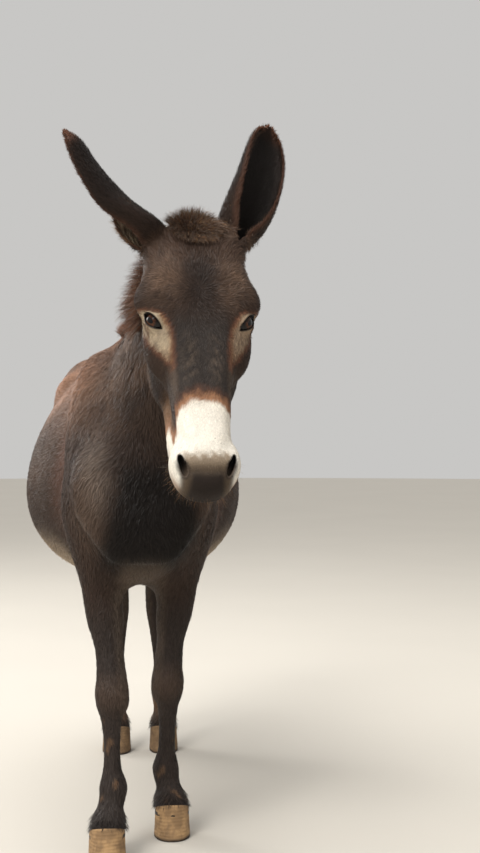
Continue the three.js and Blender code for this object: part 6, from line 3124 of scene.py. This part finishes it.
class Studio:
    """A pale floor, soft lamps, a pale surround and the camera."""

    CAMERA = (-63.0, -2789.0, 900.0)
    YAW = math.radians(5.6)
    FOCAL = 36.0 * 1316.0 / 853.0
    FLOOR = colour("c6c1b8")

    def __init__(self, placement: Placement) -> None:
        """Keeps the placement."""
        self.placement = placement

    def build(self) -> None:
        """Adds the floor, the lamps, the surround and the camera."""
        self._floor()
        for lamp in LAMPS:
            self._lamp(lamp)
        self._daylight()
        world = bpy.data.worlds.new("surround")
        bpy.context.scene.world = world
        world.use_nodes = True
        surround = world.node_tree.nodes["Background"]
        surround.inputs["Color"].default_value = (0.93, 0.92, 0.9, 1.0)
        surround.inputs["Strength"].default_value = 0.62
        camera = bpy.data.cameras.new("camera")
        camera.sensor_fit, camera.sensor_height, camera.lens = "VERTICAL", 36.0, self.FOCAL
        owner = bpy.data.objects.new("camera", camera)
        owner.location = self.placement.shared(np.array(self.CAMERA))
        owner.rotation_euler = (math.pi / 2, 0.0, -self.YAW)
        bpy.context.scene.collection.objects.link(owner)
        bpy.context.scene.camera = owner
        bpy.context.scene.view_settings.view_transform = "Standard"

    def _floor(self, radius: float = 20, segments: int = 96) -> None:
        """Adds a wide round floor with a faint unevenness of tone.

        Args:
            radius: Its radius in metres.
            segments: How many sides its rim has.
        """
        turn = np.linspace(0, 2 * np.pi, segments + 1)[:-1]
        rim = np.stack([radius * np.cos(turn), radius * np.sin(turn), np.zeros(segments)], axis=1)
        points = np.concatenate([rim, [[0.0, 0.0, 0.0]]])
        i = np.arange(segments)
        mesh = mesh_from("floor", points, np.stack([i, (i + 1) % segments, np.full(segments, segments)], axis=1))
        finish = Finish("floor", 0.85, 0.3)
        tone = finish.mix(finish.noise(1.3, 2.0), self.FLOOR, self.FLOOR * 0.94)
        finish.tint(tone)
        mesh.materials.append(finish.material)
        object_from(mesh)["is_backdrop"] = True

    @staticmethod
    def _daylight() -> None:
        """Adds one broad far light, which falls evenly over animal and floor."""
        data = bpy.data.lights.new("daylight", "SUN")
        data.angle, data.energy, data.color = math.radians(35), 1.2, (1.0, 0.975, 0.94)
        hang(data, (0, 0, 0), Vector((0, 0, 0)) - Vector((-2.4, -3.2, 5.0)))

    @staticmethod
    def _lamp(lamp: Lamp) -> None:
        """Adds one lamp, turned to what it lights.

        Args:
            lamp: The lamp.
        """
        data = bpy.data.lights.new(lamp.name, "AREA")
        data.shape, data.size, data.energy, data.color = "DISK", lamp.size, lamp.power, lamp.tint
        hang(data, lamp.place, Vector(lamp.aim) - Vector(lamp.place))


# ------------------------------------------------------------------------- main
FLESH = ("trunk", "neck", "head", "jaw", "ear_left", "ear_right", "tail")
LIMBS = tuple(f"{pair}_{part}_leg_{name}" for pair in ("fore", "hind") for part in ("upper", "lower") for name in SIDES)


class Donkey:
    """The whole dressed animal."""

    def __init__(self) -> None:
        """Sets up the anatomy and the finishes."""
        self.anatomy = Anatomy()
        self.placement = Placement(self.anatomy)
        self.skin = Skin(self.anatomy, self.placement)
        self.short_hair = HairFinish("short_hair", 0.5, 0.86, 0.3)
        self.long_hair = HairFinish("long_hair", 0.48, 0.8, 0.4)

    def build(self) -> None:
        """Builds and places every piece, and hides the solids that they cover."""
        skin = self.skin.build()
        markings, lie = Markings(self.anatomy, self.skin.field), Lie(self.anatomy, self.skin.field)
        scalp = Scalp.of(self.skin, markings, lie)
        self._finish_skin(skin, scalp)
        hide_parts(*FLESH, *LIMBS)
        self._keep(skin, Slot.COAT)
        for piece in Coat(scalp, self.placement, self.short_hair.material).build():
            self._speckle(piece)
            self._keep(piece, Slot.COAT)
        self._long_hair(scalp)
        eye = EyeFinish()
        for name, s in SIDES.items():
            ball = Eyeball(self.skin.field.eyes[s], self.placement).build(f"eyeball_{name}", eye)
            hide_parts(f"eye_{name}")
            self._keep(ball, Slot.EYE)
        for hoof in Hooves(self.anatomy, self.placement).build(HoofFinish()):
            self._keep(hoof, Slot.HOOF)

    def _finish_skin(self, skin: Object, scalp: Scalp) -> None:
        """Stores the markings on the skin and gives it its material.

        Args:
            skin: The skin's object.
            scalp: What was read from it.
        """
        set_attribute(skin.data, "coat", scalp.colours)
        set_attribute(skin.data, "bare", 1 - np.clip(scalp.density * 1.6, 0, 1))
        self._speckle(skin)
        skin.data.materials.clear()
        skin.data.materials.append(SkinFinish().material)

    def _speckle(self, piece: Object) -> None:
        """Marks where the muzzle's spots may show on a piece.

        Args:
            piece: The piece.
        """
        points = self.placement.working(points_of(piece.data))
        _, up, along = self.anatomy.head_axes.local(points).T
        share = smooth_step(along, 348, 372) * (1 - smooth_step(along, 440, 470)) * (points[:, 1] < MUZZLE_Y)
        set_attribute(piece.data, "speckle", share * smooth_step(up, -120, -90))

    def _long_hair(self, scalp: Scalp) -> None:
        """Grows the mane, forelock, tail, fringes, whiskers and lashes.

        Args:
            scalp: The skin that hair grows from.
        """
        groomer = Groomer(scalp, self.placement)
        hair = LongHair(self.anatomy, self.skin.field, groomer, self.long_hair.material)
        mane, forelock, tail = hair.mane(), hair.forelock(), hair.tail()
        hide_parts("mane")
        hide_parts("forelock")
        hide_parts("tail_tuft")
        for piece in (mane, hair.mane_fall(), forelock, tail):
            self._keep(piece, Slot.MANE)
        for piece in (*hair.ear_fringes(), hair.whiskers(), *hair.lashes()):
            self._keep(piece, Slot.COAT)

    @staticmethod
    def _keep(piece: Object, slot: Slot) -> None:
        """Lets a piece ride on the animal.

        Args:
            piece: The piece.
            slot: Its material slot; not used.
        """
        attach(piece, "root")
        LOG.info("%s is in place", piece.name)


def main() -> None:
    """Loads the solids, dresses them, and sets the studio around them."""
    logging.basicConfig(level=logging.INFO, format="%(name)s: %(message)s")
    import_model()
    donkey = Donkey()
    donkey.build()
    Studio(donkey.placement).build()


if __name__ == "__main__":
    main()
